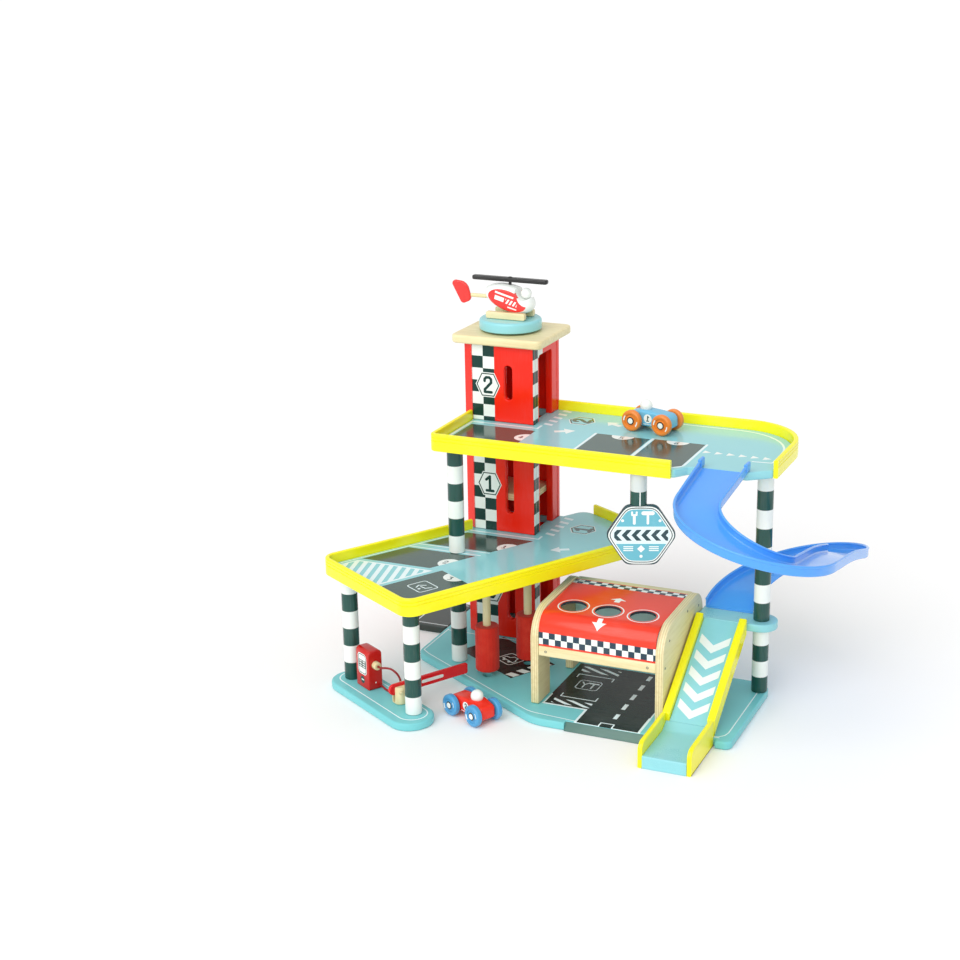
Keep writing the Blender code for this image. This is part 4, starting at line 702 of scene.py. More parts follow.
def makeBase(size):
    turnX, turnY = cos(wingTurn), sin(wingTurn)
    slantLeft = (size["left"], towerCorner[1] + (size["slant"] - (size["left"] - towerCorner[0]) * turnX) / turnY)
    drop = size["front"] - towerCorner[1]
    slantRight = (towerCorner[0] + (size["slant"] - drop * turnY) / turnX, size["front"])
    edge = rounded([(*slantLeft, .020), (*slantRight, .050), (.019, size["front"]), (.019, -.136), (.112, -.136),
                    (.112, size["front"]), (.117, size["front"], .002), (.117, -.1187), (.182, -.1187), (.182, -.125),
                    (size["right"], -.125, .020), (size["right"], .036, .020), (.100, .036, .020),
                    (.040, size["back"], .020),
                    (size["left"], size["back"], .008)])
    holes = [circleLine(x, y, size["dowel"] + .0004, 32) for x, y in size["rollers"]]
    settle(slab("baseBoard", [edge] + holes, size["board"], lying(0.0), size["ease"]), basePaint(basePrint),
           "base_plate")
    lip = rounded([(-.1363, 0.0, .0006), (-.144, 0.0, .0006), (-.144, .001, .0005), (-.1363, .009, .0006)])
    settle(slab("entryLip", [lip], .0924, crosswise(.0193), .0005),
           painted("lipPaint", colours["lip"], 0.32, (1, 14, 14)), "front_entry_lip")
    recipe = Recipe("roadPaint")
    line = recipe.drawn(recipe.plane(recipe.x, recipe.y), ([(-.2555, .0555), (-.2555, .1225), (-.2165, .1225)], .0013),
                        ([(-.2555, .0555), (-.2125, .0555)], .0013))
    colour = recipe.mix(line * (recipe.facing[2] > 0.5), colours["plate"], colours["line"])
    settle(slab("roadBoard", [boxLine(-.260, -.2123, .050, .128, .003)], size["board"], lying(0.0), .0012),
           lacquer(recipe, colour, 0.34), "left_road_plate")
    island = rounded([onWing(-.065, -.2495, .0245), onWing(.1025, -.2495, .0245), onWing(.1025, -.199, .0245),
                      onWing(-.065, -.199, .0245)])
    recipe = Recipe("islandPaint")
    across, along = wingPoint(recipe)
    # distance to a stadium round the island's middle line
    reach = recipe.vector("LENGTH", recipe.plane((abs(across - .0172) - .0600).most(0.0), along + .2220))
    line = (abs(reach - .0165) < .0007) * (recipe.facing[2] > 0.5)
    paint = lacquer(recipe, recipe.mix(line, colours["ground"], colours["line"]), 0.26, (1.0, 14.0, 14.0), baseLook)
    settle(slab("islandBoard", [island], size["board"], lying(0.0), .0020), paint, "island_base")


makeBase(baseSize)
print("base boards ready")

# decks and rails
deckSize = {"board": .009, "rail": .005, "railHeight": .020, "gap": .0003, "ease": .0014}
shaftLine = boxLine(-.166, -.103, .058, .120)
towerBackLine = [(-.183, .128, .002), (-.183, .057), (-.171, .050)]
towerHexagon = {
    "width": .0305, "height": .029, "digit": 0.66, "weight": 0.17, "rims": (0.93, 0.84), "turn": 0.0, "fill": "white"}
deckHexagon = {
    "width": .0330, "height": .030, "digit": 0.68, "weight": 0.24, "rims": (0.93, 0.80), "turn": radians(90),
    "fill": "aqua"}


def hexagonMark(recipe, u, v, centre, digit, colour, look):
    # a hexagon with its points at the sides: white outside line, dark line, plain field and a dark numeral
    flat, half, tall = look["width"] * 0.27, look["width"] / 2, look["height"] / 2
    corners = [(-flat, -tall), (flat, -tall), (half, 0.0), (flat, tall), (-flat, tall), (-half, 0.0)]

    def grown(by):
        return recipe.shape(u, v, [(centre[0] + a * by, centre[1] + b * by) for a, b in corners])

    field = grown(look["rims"][1])
    colour = recipe.mix(grown(1.0), colour, colours["white"])
    colour = recipe.mix(grown(look["rims"][0]), colour, colours["checkDark"])
    colour = recipe.mix(field, colour, colours[look["fill"]])
    number = numeral(recipe, u, v, digit, centre, look["height"] * look["digit"], look["turn"], look["weight"])
    return recipe.mix(number * field, colour, colours["checkDark"])


def arrowMark(recipe, u, v, centre, turn, length, width):
    # an arrow along +v before its turn: a triangle over a short bar
    c, s = cos(turn), sin(turn)
    a = (u - centre[0]) * c + (v - centre[1]) * s
    b = (v - centre[1]) * c - (u - centre[0]) * s
    head = recipe.shape(a, b, [(-width / 2, 0.0), (width / 2, 0.0), (0.0, length / 2)])
    return head.most(recipe.box(a, b, -width * 0.17, width * 0.17, -length / 2, .0005))


def bayMark(recipe, u, v, colour, digit, centre, inside, clip, radius=.013, height=.0085, weight=0.16):
    # a white half disc at the bay's edge with its number
    disc = recipe.disc(u, v, centre, radius) * clip
    colour = recipe.mix(disc, colour, colours["white"])
    return recipe.mix(numeral(recipe, u, v, digit, inside, height, 0.0, weight) * disc, colour, colours["checkDark"])


def zebra(recipe, x, y, sides, bars):
    # slanted bars one after another along y, from the left side to the right one
    left, right, pivot = sides
    y = y + (x + pivot) * bars["lean"]
    last = bars["first"] + bars["step"] * bars["count"] - (bars["step"] - bars["thick"]) / 2
    counted = ((y - bars["first"]) / bars["step"]).fraction() < bars["thick"] / bars["step"]
    return counted * recipe.box(x, y, left, right, bars["first"], last)


zebraBars = {"first": .0585, "step": .0145, "thick": .0058, "count": 5, "lean": 0.25}
upperPrint = {
    "lines": (([(-.1675, -.044), (-.1675, .0415), (-.0865, .0415), (-.0865, .053)], .0028),
              ([(-.0178, -.048), (-.0178, .0475)], .0030), ([(.0492, -.048), (.0492, .050)], .0034),
              (softLine([(.1122, .050), (.1122, -.036, .012), (.0975, -.0452, .01), (.050, -.0452)]), .0028),
              (softLine([(.176, .0085), (.1975, .0105, .004), (.1975, .1175, .070), (.050, .1175)], False, 9), .0024)),
    "zebra": (-.0870, -.0758, .0815), "slates": ((-.164, -.0845, -.046, .0315), (-.016, .0465, -.046, .0475)),
    "cutSlate": [(.0515, -.0435), (.100, -.0435), (.1105, -.034), (.1105, .0495), (.0515, .0495)],
    "bays": (("4", (-.0845, .003), (-.0905, .003), 0, -.0845), ("5", (.0150, .0475), (.0150, .0415), 1, .0475),
             ("6", (.0790, .0495), (.0790, .0435), 1, .0495)), "hexagon": (-.0508, .0886),
    "arrows": (((-.0535, .0425), -62, .024, .020), ((-.0115, .0885), 62, .022, .018)),
    "wedges": {"first": .1165, "step": .0135, "count": 6, "low": .0185, "high": .0285, "length": .0085}}


def upperPaint(marks):
    # aqua with three dark bays, their numbers, white lines, a crossing, arrows and a row of wedges at the slide
    recipe = Recipe("upperDeckPaint")
    x, y = recipe.x, recipe.y
    white = recipe.drawn(recipe.plane(x, y), *marks["lines"]).most(zebra(recipe, x, y, marks["zebra"], zebraBars))
    colour = recipe.mix(white, colours["aqua"], colours["line"])
    slate = recipe.boxes(x, y, *marks["slates"]).most(recipe.shape(x, y, marks["cutSlate"]))
    colour = recipe.mix(slate, colour, colours["slate"])
    for digit, centre, inside, axis, edge in marks["bays"]:
        colour = bayMark(recipe, x, y, colour, digit, centre, inside, (x, y)[axis] < edge)
    colour = hexagonMark(recipe, x, y, marks["hexagon"], "2", colour, deckHexagon)
    signs = [arrowMark(recipe, x, y, centre, radians(turn), length, width)
             for centre, turn, length, width in marks["arrows"]]
    row = marks["wedges"]
    for index in range(row["count"]):
        left = row["first"] + index * row["step"]
        tip = (left + row["length"], (row["low"] + row["high"]) / 2)
        signs.append(recipe.shape(x, y, [(left, row["low"]), tip, (left, row["high"])]))
    colour = recipe.mix(signs[0].most(*signs[1:]), colour, colours["white"])
    colour = recipe.mix(recipe.facing[2] > 0.5, colours["aqua"], colour)
    return lacquer(recipe, colour, 0.17, alongX, deckLook)


middlePrint = {
    "edge": (softLine([(-.0605, -.052), (-.0605, -.2315, .010), (.0965, -.2315, .010), (.0965, .045)]), .0016),
    "corner": ([(-.172, .0405), (-.0862, .0405), (-.0862, .050)], .0026), "rows": (.0230, .0335), "rowHalf": .0009,
    "rowSpan": (-.060, .0165, -.20, .02), "zebra": (-.0860, -.0742, .080), "hatch": (-.0545, .0205, -.2255, -.10),
    "hatchEnd": -.0985, "hatchStep": .0106, "hatchLean": 0.22, "rim": (-.0565, .0235, -.2280, -.08), "rimEnd": -.0960,
    "slateSpan": (-.0575, .0145, -.30, .05), "slates": ((-.26, .0, -.0195, .0320), (-.26, .0, -.0900, -.0378)),
    "nearSlate": (.0290, .0935, -.2265, -.1475),
    "bays": (("1", (-.1070, .0006), (-.1122, .0022), 0, .0145), ("2", (-.1480, -.0684), (-.1532, -.0668), 0, .0145),
             ("3", (-.1236, -.1047), (-.1268, -.1100), 1, -.1475)),
    "person": ((frameLine(.0440, .0700, -.2030, -.1790, .003), .0012, True),
               ([(.0545, -.1975), (.0510, -.1920), (.0560, -.1860)], .0016),
               ([(.0560, -.1925), (.0630, -.1915), (.0655, -.1850)], .0016)), "head": (.0600, -.1975, .0017),
    "arrow": ((-.0500, .0170), radians(118), .022, .018), "hexagon": (-.0505, .0905)}


def middlePaint(marks):
    # aqua with dark bays, a hatched corner, a plain pictogram, numbers, a crossing and an arrow
    recipe = Recipe("middleDeckPaint")
    x, y = recipe.x, recipe.y
    n, s = wingPoint(recipe)
    spot, wing = recipe.plane(x, y), recipe.plane(n, s)
    near, far = ((abs(y + middle) < marks["rowHalf"]) for middle in marks["rows"])
    white = recipe.strokes(wing, *marks["edge"]).most(
        recipe.strokes(spot, *marks["corner"]), near.most(far) * recipe.box(n, s, *marks["rowSpan"]),
        zebra(recipe, x, y, marks["zebra"], zebraBars))
    zone = recipe.box(n, s, *marks["hatch"]) * (y < marks["hatchEnd"])
    rim = recipe.box(n, s, *marks["rim"]) * (y < marks["rimEnd"])
    bars = ((x + (y + .1) * marks["hatchLean"]) / marks["hatchStep"]).fraction() > 0.50
    colour = recipe.mix(rim.most(white), colours["aqua"], colours["line"])
    pale = recipe.mix(0.5, colours["aqua"], colours["hatch"])
    colour = recipe.mix(zone, colour, recipe.mix(bars, pale, colours["line"]))
    slate = recipe.box(n, s, *marks["slateSpan"]) * recipe.boxes(x, y, *marks["slates"])
    slate = slate.most(recipe.box(n, s, *marks["nearSlate"]))
    colour = recipe.mix(slate, colour, colours["slate"])
    for digit, centre, inside, axis, edge in marks["bays"]:
        colour = bayMark(recipe, x, y, colour, digit, centre, inside, (n, s)[axis] < edge)
    signs = recipe.drawn(wing, *marks["person"])
    signs = signs.most(recipe.discs(n, s, marks["head"]), arrowMark(recipe, x, y, *marks["arrow"]))
    colour = recipe.mix(signs, colour, colours["line"])
    colour = hexagonMark(recipe, x, y, marks["hexagon"], "1", colour, deckHexagon)
    colour = recipe.mix(recipe.facing[2] > 0.5, colours["aqua"], colour)
    return lacquer(recipe, colour, 0.17, alongX, deckLook)


def railSection(height, thick, gap):
    # soft top and bottom edges, and two fine grooves along the outer face
    low, high, deep = 0.0, height, .0008
    outer, inner = gap + thick, gap
    soft = rounded([(inner, low, .0006), (outer, low, .0012), (outer, high, .0018), (inner, high, .0014)])[::-1]
    keep = soft[(soft[:, 0] < outer - 1e-5) | (soft[:, 1] < .0015) | (soft[:, 1] > high - .0019)]
    grooves = []
    for middle in (high * 0.61, high * 0.80):
        grooves += [(outer, middle + .0007), (outer - deep, middle + .0002), (outer - deep, middle - .0002),
                    (outer, middle - .0007)]
    grooves = np.array(sorted(grooves, key=lambda p: -p[1]))
    start = int(np.argmax((keep[:, 0] > outer - 1e-5) & (keep[:, 1] > high / 2)))
    return np.concatenate([keep[:start + 1], grooves, keep[start + 1:]])


def makeDecks(size):
    board = size["board"]
    notch = onWing(-.036, 0.0)
    notchAlong = (.128 - notch[1]) / alongWing[1]
    startAlong = (-.0646 * -acrossWing[1]) / alongWing[1]
    path = [onWing(-.0646, startAlong), onWing(-.0646, -.2387, .0107), onWing(.1016, -.2387, .0107),
            onWing(.1016, .1027, .0607), onWing(-.0206, .1027)]
    edge = rounded(path[1:4] + [onWing(-.036, .1027, .014), onWing(-.036, notchAlong)] + towerBackLine + path[:1])
    settle(slab("middleDeck", [edge, shaftLine], board, lying(levels["mid"] - board), size["ease"]),
           middlePaint(middlePrint), "mid_deck")
    mouth = [(.1078, -.0501, .004), (.118, -.0361, .004), (.126, -.032), (.182, -.032, .006), (.2047, -.014, .003)]
    edge = rounded([(-.1707, -.0501, .003)] + mouth + [(.2047, .1247, .0767), (-.095, .1247), (-.095, .128)]
                   + towerBackLine[:2] + [(-.1707, .0498)])
    settle(slab("upperDeck", [edge, shaftLine], board, lying(levels["upper"] - board), size["ease"]),
           upperPaint(upperPrint), "upper_deck")
    section = railSection(size["railHeight"], size["rail"], size["gap"])
    paint = painted("railYellow", colours["yellow"], 0.24, (6.0, 6.0, 22.0))
    path[0] = onWing(-.0646, startAlong - .004)
    front = [(-.1707, .0497), (-.1707, -.0501, .003), (.1048, -.0501)]
    back = [(.2047, -.013), (.2047, .1247, .0767), (-.0947, .1247)]
    for name, line, node, deck in (("middleRail", path, "mid_deck_rail", "mid"),
                                   ("frontRail", front, "upper_front_rail", "upper"),
                                   ("backRail", back, "upper_back_rail", "upper")):
        settle(railBody(name, line, section, levels[deck] - board), paint, node)


makeDecks(deckSize)
print("decks and rails ready")

# lift tower
towerSize = {
    "left": -.183, "right": -.095, "front": .050, "back": .128, "wall": .008, "wing": .012, "wingBack": .007,
    "storeys": (("ground", .009, .124, (.023, .104), "0"), ("middle", .142, .124, (.023, .104), "1"),
                ("top", .275, .090, (.0265, .067), "2")), "windowX": -.126, "windowWidth": .010, "doorFront": .067,
    "doorBack": .105, "lintel": .012, "ease": .0009,
    "lift": {"line": (-.1656, -.1034, .0584, .1196, .002), "low": .1785, "thick": .008, "ease": .0010, "ply": .0016},
    "roof": {"line": (-.194, -.083, .042, .140, .008), "bore": (-.139, .089, .0049), "low": .365, "thick": .010,
             "ease": .0026}}
towerPrint = {
    "check": .0141, "left": -.1712, "front": .0500, "right": -.0962, "skin": .0012, "past": .01, "hexagonX": -.1512,
    "hexagonHeight": {"ground": 0.46, "middle": 0.46, "top": 0.475}}


def towerPaint(label, floor, high, digit, marks):
    # red with a chequered strip on the front and on the right, and the storey's number in a hexagon
    recipe = Recipe("towerPaint_" + label)
    x, y, z = recipe.x, recipe.y, recipe.z
    side, left, front, past = marks["check"], marks["left"], marks["front"], marks["past"]
    top = floor + high
    ahead = (y < front + marks["skin"]) * (recipe.facing[1] < -0.5)
    checks = recipe.mix(recipe.checks(x - left, top - z, side), colours["white"], colours["checkDark"])
    colour = recipe.mix(recipe.box(x, z, left, left + 2 * side, floor - past, top + past) * ahead, colours["red"],
                        checks)
    strip = recipe.boxes(y, z, (front - past, front + side, floor - past, top + past),
                         (front - past, front + 2 * side, top - side * 1.05, top + past))
    checks = recipe.mix(recipe.checks(y - front + side, top - z, side), colours["white"], colours["checkDark"])
    colour = recipe.mix(strip * (x > marks["right"]) * (recipe.facing[0] > 0.5), colour, checks)
    centre = (marks["hexagonX"], floor + high * marks["hexagonHeight"][label])
    colour = recipe.mix(ahead, colour, hexagonMark(recipe, x, z, centre, digit, colour, towerHexagon))
    return lacquer(recipe, colour, 0.20, (8.0, 8.0, 1.0), towerLook)


def makeTower(size):
    left, right, front, back, wall, ease = (size[key] for key in ("left", "right", "front", "back", "wall", "ease"))
    seam = left + size["wing"]
    wingWall = wall * hypot(1.0, size["wingBack"] / size["wing"])
    wingEnd = front + size["wingBack"] + wingWall
    half = size["windowWidth"] / 2
    window = (size["windowX"] - half, size["windowX"] + half)
    for label, floor, clear, opening, digit in size["storeys"]:
        paint = towerPaint(label, floor, clear, digit, towerPrint)
        low, high = floor + seat, clear - 2 * seat
        hole = boxLine(*window, floor + opening[0], floor + opening[1], half)
        # front, its slanted wing, back, left side, and the doorway's jambs under their lintel
        face = slab("towerFront_" + label, [boxLine(seam + .0002, right, low, low + high), hole], wall,
                    lengthwise(front + wall), ease)
        settle(face, paint, "tower_front_" + label)
        wing = np.array([(seam, front), (seam, front + wall), (left, wingEnd), (left, front + size["wingBack"])])
        settle(slab("towerWing_" + label, [wing], high, lying(low), .0006), paint, "tower_front_" + label, False)
        behind = slab("towerBack_" + label, [boxLine(left, right, low, low + high), hole], wall, lengthwise(back), ease)
        settle(behind, paint, "tower_back_" + label)
        sheet = slab("towerLeft_" + label, [boxLine(wingEnd + seat, back - wall - .0001, low, low + high)], wall,
                     crosswise(left), ease)
        settle(sheet, paint, "tower_back_" + label, False)
        top, near, far = low + high - size["lintel"], front + wall + seat, back - wall - seat
        jambs = rounded([(near, low), (size["doorFront"], low), (size["doorFront"], top, .004),
                         (size["doorBack"], top, .004),
                         (size["doorBack"], low), (far, low), (far, low + high), (near, low + high)])
        settle(slab("towerDoor_" + label, [jambs], wall, crosswise(right - wall), ease), paint,
               "tower_doorway_" + label)
    lift, roof = size["lift"], size["roof"]
    floorBoard = slab("liftFloor", [boxLine(*lift["line"])], lift["thick"], lying(lift["low"]), lift["ease"])
    settle(floorBoard, birch("liftWood", "x", ("z", lift["low"], lift["ply"])), "lift_floor")
    roofBoard = slab("towerRoof", [boxLine(*roof["line"]), circleLine(*roof["bore"], 32)], roof["thick"],
                     lying(roof["low"]), roof["ease"], 6)
    settle(roofBoard, birch("roofWood", "x"), "roof_board")


makeTower(towerSize)
print("tower ready")

# turning pad and helicopter
padSize = {
    "x": towerSize["roof"]["bore"][0], "y": towerSize["roof"]["bore"][1], "roof": .375, "radius": .036, "lift": .0024,
    "thick": .012}
flyerSize = {
    "tilt": radians(15), "half": (.031, .013, .0155), "middle": .412186, "pilot": (-.119, .418686, .0063),
    "rotorZ": .430672, "scoop": .010, "shaft": .0022, "shaftDepth": .0063, "boomZ": .411686, "boomStart": -.190288,
    "boomBore": .0026, "boomBoreStart": .017, "boomBoreLength": .0093, "boom": .0023, "boomOut": .0025,
    "boomLength": .0235, "skidZ": .3897,
    "runner": {"half": .024, "height": .008, "thick": .006, "aside": .013, "round": .002},
    "bars": {"Rear": -.010, "Front": .010}, "bar": {"half": .004, "low": .0006, "high": .0048, "reach": .0098},
    "fin": [(-.0240, .0170, .004), (-.0030, .0150, .012), (.0030, -.0060, .006), (-.0090, -.0110, .004)],
    "finThick": .005, "blade": (.0465, .0045, .0032), "bladeThick": .005,
    "pin": [(0, 0), (.0018, 0), (.0018, .0109), (.0030, .0109), (.0030, .0112, .0002), (.0012, .0119, .0006),
            (0, .0120)]}
flyerPrint = {
    "panel": (.0010, -.0012, .0238, .0118), "notch": (.0235, .0115, .0125), "cheek": .0075,
    "bars": (-.0005, .0145, -.0044, .0012), "barStep": .0040,
    "plates": ((-.0140, -.0022, -.0038, .0012), (-.0150, .0085, .0036, .0058), (.0040, .0150, -.0084, -.0068))}


def makePad(size):
    top = size["lift"] + size["thick"]
    radius = size["radius"]
    profile = rounded([(0.0, top), (radius, top, .0035), (radius, size["lift"], .0012), (.012, size["lift"]),
                       (.012, .0003), (.0045, .0003),
                       (.0045, -.0103), (.010, -.0103), (.010, -.0223), (0.0, -.0223)], closed=False)
    settle(lathe("turningPad", profile, lying(size["roof"], size["x"], size["y"]), 96),
           painted("padPaint", colours["aqua"], 0.24), "helipad_disc")


def eggBody(size):
    # the rim is an egg, half length * cos a by half height * sin a * (0.98 + 0.098 cos a), its nose the fuller end;
    # the two cheeks swell as half width * (1 - r^6)^(1/2) of the share r of the way out
    angles = np.linspace(0, 2 * pi, 96, endpoint=False)
    long, wide, high = size["half"]
    rimX, rimZ = long * np.cos(angles), high * np.sin(angles) * (0.98 + 0.098 * np.cos(angles))
    share = np.sin(np.linspace(0.04, pi / 2, 12))
    outward = np.concatenate([share, share[-2::-1]])
    bulge = wide * np.sqrt(np.maximum(0, 1 - outward ** 6))
    bulge[12:] *= -1
    points = np.stack([outward[:, None] * rimX, np.repeat(bulge[:, None], len(angles), 1), outward[:, None] * rimZ], -1)
    c, s = cos(size["tilt"]), sin(size["tilt"])
    turned = np.stack([points[..., 0] * c + points[..., 2] * s, points[..., 1],
                       -points[..., 0] * s + points[..., 2] * c], -1)
    return turned + (padSize["x"], padSize["y"], size["middle"])


def cutWith(piece, cutters):
    # take the cutters out of the piece and keep the result as its mesh
    for cutter in cutters:
        change = piece.modifiers.new(cutter.name, "BOOLEAN")
        change.object = cutter
        change.operation = "DIFFERENCE"
        change.solver = "EXACT"
    graph = bpy.context.evaluated_depsgraph_get()
    mesh = bpy.data.meshes.new_from_object(piece.evaluated_get(graph))
    piece.modifiers.clear()
    piece.data = mesh
    for cutter in cutters:
        bpy.data.objects.remove(cutter)
    mesh.shade_smooth()
    mesh.set_sharp_from_angle(angle=radians(35))
    return piece


def flyerPaint(size, marks):
    # white with a red panel on each cheek, held inside the egg's rim, and pale slanted bars on it
    recipe = Recipe("flyerPaint")
    c, s = cos(size["tilt"]), sin(size["tilt"])
    x, z = recipe.x - padSize["x"], recipe.z - size["middle"]
    along, up = x * c - z * s, x * s + z * c
    middle, height, halfLength, halfHeight = marks["panel"]
    panel = recipe.vector("LENGTH", recipe.plane((along - middle) / halfLength, (up - height) / halfHeight)) < 1.0
    panel = panel * (1.0 - recipe.discs(along, up, marks["notch"])) * (abs(recipe.y - padSize["y"]) > marks["cheek"])
    bars = (((along * 0.94 - up * 0.34) / marks["barStep"]).fraction() > 0.45) * recipe.box(along, up, *marks["bars"])
    colour = recipe.mix(panel, colours["white"], colours["finRed"])
    colour = recipe.mix(panel * bars.most(recipe.boxes(along, up, *marks["plates"])), colour, colours["white"])
    return lacquer(recipe, colour, 0.25)


def makeFlyer(size):
    x0, y0 = padSize["x"], padSize["y"]
    pilotX, pilotZ, pilotRadius = size["pilot"]
    body = gridBody("flyerBody", eggBody(size))
    # the pilot's scoop, the rotor's shaft and the tail boom's hole are cut out of the egg
    scoopZ = pilotZ - pilotRadius - seat + size["scoop"]
    cutters = [rod("scoop", size["scoop"], 0, .06, lengthwise(y0 + .03, pilotX, scoopZ), 64),
               rod("shaft", size["shaft"], 0, .02, lying(size["rotorZ"] - size["shaftDepth"], x0, y0), 32),
               rod("boomHole", size["boomBore"], 0, size["boomBoreLength"],
                   crosswise(size["boomStart"] + size["boomBoreStart"], y0, size["boomZ"]), 32)]
    settle(cutWith(body, cutters), flyerPaint(size, flyerPrint), "helicopter_body")
    head = sphere("pilotHead", pilotRadius, lying(pilotZ, pilotX, y0), 48)
    settle(head, painted("pilotPaint", colours["white"], 0.25), "helicopter_pilot")
    # two runners and two cross bars
    wood = birch("skidWood", "x", ("y", .0, .0015))
    parts, runner, bar = [], size["runner"], size["bar"]
    line = boxLine(-runner["half"], runner["half"], 0.0, runner["height"], runner["round"])
    for side, name in ((-1, "Near"), (1, "Far")):
        place = lengthwise(y0 + side * runner["aside"] + runner["thick"] / 2, x0, size["skidZ"])
        parts.append(slab("runner" + name, [line], runner["thick"], place, .0008))
    for name, along in size["bars"].items():
        line = boxLine(along - bar["half"], along + bar["half"], bar["low"], bar["high"], .0008)
        parts.append(slab("bar" + name, [line], 2 * bar["reach"], lengthwise(y0 + bar["reach"], x0, size["skidZ"]),
                          .0004))
    for index, part in enumerate(parts):
        settle(part, wood, "helicopter_skids", index == 0)
    place = lengthwise(y0 + size["finThick"] / 2, size["boomStart"], size["boomZ"])
    settle(slab("tailFin", [rounded(size["fin"])], size["finThick"], place, .0014),
           painted("finPaint", colours["finRed"], 0.24), "helicopter_tail")
    place = crosswise(size["boomStart"] + size["boomOut"], y0, size["boomZ"])
    settle(rod("tailBoom", size["boom"], 0, size["boomLength"], place, 28), birch("boomWood", "x"), "helicopter_tail",
           False)
    reach, half, soft = size["blade"]
    blade = slab("rotorBlade", [boxLine(-reach, reach, -half, half, soft)], size["bladeThick"],
                 lying(size["rotorZ"], x0, y0), .0016)
    settle(blade, painted("rotorPaint", colours["rotor"], 0.30, alongX), "helicopter_rotor")
    pin = lathe("rotorPin", rounded(size["pin"], closed=False), lying(size["rotorZ"] - .006, x0, y0), 32)
    settle(pin, painted("pinPaint", colours["rotor"], 0.22), "helicopter_rotor", False)


makePad(padSize)
makeFlyer(flyerSize)
print("pad and helicopter ready")

# columns and sign
columnSize = {
    "radius": .009, "ease": .0007,
    "runs": (("column_island_back", (-.2475, -.1191), standOn, .1327, 6, 0),
             ("column_island_front", (-.1417, -.1773), standOn, .1327, 6, 1),
             ("column_left_lower", (-.1565, -.0300), standOn, .1327, 6, 1),
             ("column_left_upper", (-.1565, -.0300), .1423, .2657, 6, 1),
             ("column_right_lower", (.1900, .0135), standOn, .0847, 4, 0),
             ("column_right_upper", (.1900, .0135), .0943, .2657, 8, 0))}
signSize = {
    "offset": .0030, "postX": .0655, "y": -.042, "top": .230, "width": .0715, "height": .0675, "flat": .0335,
    "thick": .006, "turn": radians(21.4), "point": .003, "soft": .010, "postLow": .192, "postHigh": .2657, "post": .009,
    "notch": .0483, "bandEnd": .2455, "hair": (.0013, .0006)}


def bandPaint(name, low, high, count, first):
    # bands of equal height, in turn dark and white, with a hair of darker paint where they meet
    recipe = Recipe(name)
    place = (recipe.z - low) / ((high - low) / count)
    white = ((place + first) * 0.5).fraction() > 0.5
    meet = abs((place + 0.5).fraction() - 0.5) < 0.018
    colour = recipe.mix(white, colours["bandDark"], colours["white"])
    colour = recipe.mix(meet * 0.35, colour, colours["bandSeam"])
    return lacquer(recipe, colour, 0.22, upright)


def makeColumns(size):
    for node, (x, y), low, high, count, first in size["runs"]:
        radius, ease = size["radius"], size["ease"]
        profile = rounded([(0, 0), (radius, 0, ease), (radius, high - low, ease), (0, high - low)], closed=False)
        words = node.split("_")
        piece = lathe(words[0] + "".join(word.capitalize() for word in words[1:]), profile, lying(low, x, y), 64)
        settle(piece, bandPaint(node + "_bands", low, high, count, first), node)


signPrint = {
    "rims": ((0.965, "white"), (0.925, "signDark"), (0.895, "white")), "field": 0.865,
    "tools": (([(-.0075, .0135), (-.0075, .0215)], .0030),
              ([(-.0100, .0260), (-.0098, .0228), (-.0052, .0228), (-.0050, .0260)], .0020),
              ([(.0070, .0135), (.0070, .0240)], .0026), ([(.0022, .0250), (.0120, .0250)], .0044)),
    "dots": ((-.0200, .0165, .0016), (.0200, .0165, .0016), (0.0, -.0240, .0017)), "band": .0098,
    "bars": (.0085, .0190, -.0180, -.0125), "barStep": .0022, "diamond": (-.0155, .0042),
    "chevron": {"step": .0105, "height": .0062, "reach": .0290}}


def signPaint(size):
    # pale rim, dark line, pale line, teal field, and a pale band with plain chevrons across it
    recipe = Recipe("signPaint")
    c, s = cos(size["turn"]), sin(size["turn"])
    u = (recipe.x - size["postX"]) * c + (recipe.y - size["y"]) * s - size["offset"]
    v = recipe.z - (size["top"] - size["height"] / 2)
    tall, half, flat = size["height"] / 2, size["width"] / 2 + size["point"], size["flat"] / 2
    lean = hypot(half - flat, tall)
    # the hexagon's three pairs of sides as shares of their distance from the middle, then (a^12 + b^12 + c^12)^(1/12)
    shares = [abs(v) / tall] + [abs(u * (tall / lean) + v * (side * (half - flat) / lean)) / (half * tall / lean)
                                for side in (-1, 1)]
    reach = shares[0].power(12.0) + shares[1].power(12.0) + shares[2].power(12.0)

    def inside(by):
        return reach < by ** 12

    rim = colours["signDark"]
    for by, shade in signPrint["rims"]:
        rim = recipe.mix(inside(by), rim, colours[shade])
    field = inside(signPrint["field"])
    band = abs(v) < signPrint["band"]
    tools = recipe.drawn(recipe.plane(u, v), *signPrint["tools"])
    dots = recipe.discs(u, v, *signPrint["dots"])
    bars, row = signPrint["bars"], signPrint["chevron"]
    bars = (((v - bars[3]) / signPrint["barStep"]).fraction() > 0.5) * recipe.box(abs(u), v, *bars)
    diamond = (abs(u) + abs(v - signPrint["diamond"][0])) < signPrint["diamond"][1]
    chevrons = ((u - abs(v) * 0.9) / row["step"]).fraction() < 0.52
    chevrons = chevrons * (abs(v) < row["height"]) * (abs(u) < row["reach"])
    teal = recipe.mix(tools.most(dots, bars, diamond), colours["signTeal"], colours["white"])
    teal = recipe.mix(band, teal, recipe.mix(chevrons, colours["signBand"], colours["signDark"]))
    face = recipe.mix(field, rim, teal)
    colour = recipe.mix(abs(recipe.facing[1] * c - recipe.facing[0] * s) > 0.6, colours["signDark"], face)
    return lacquer(recipe, colour, 0.26)


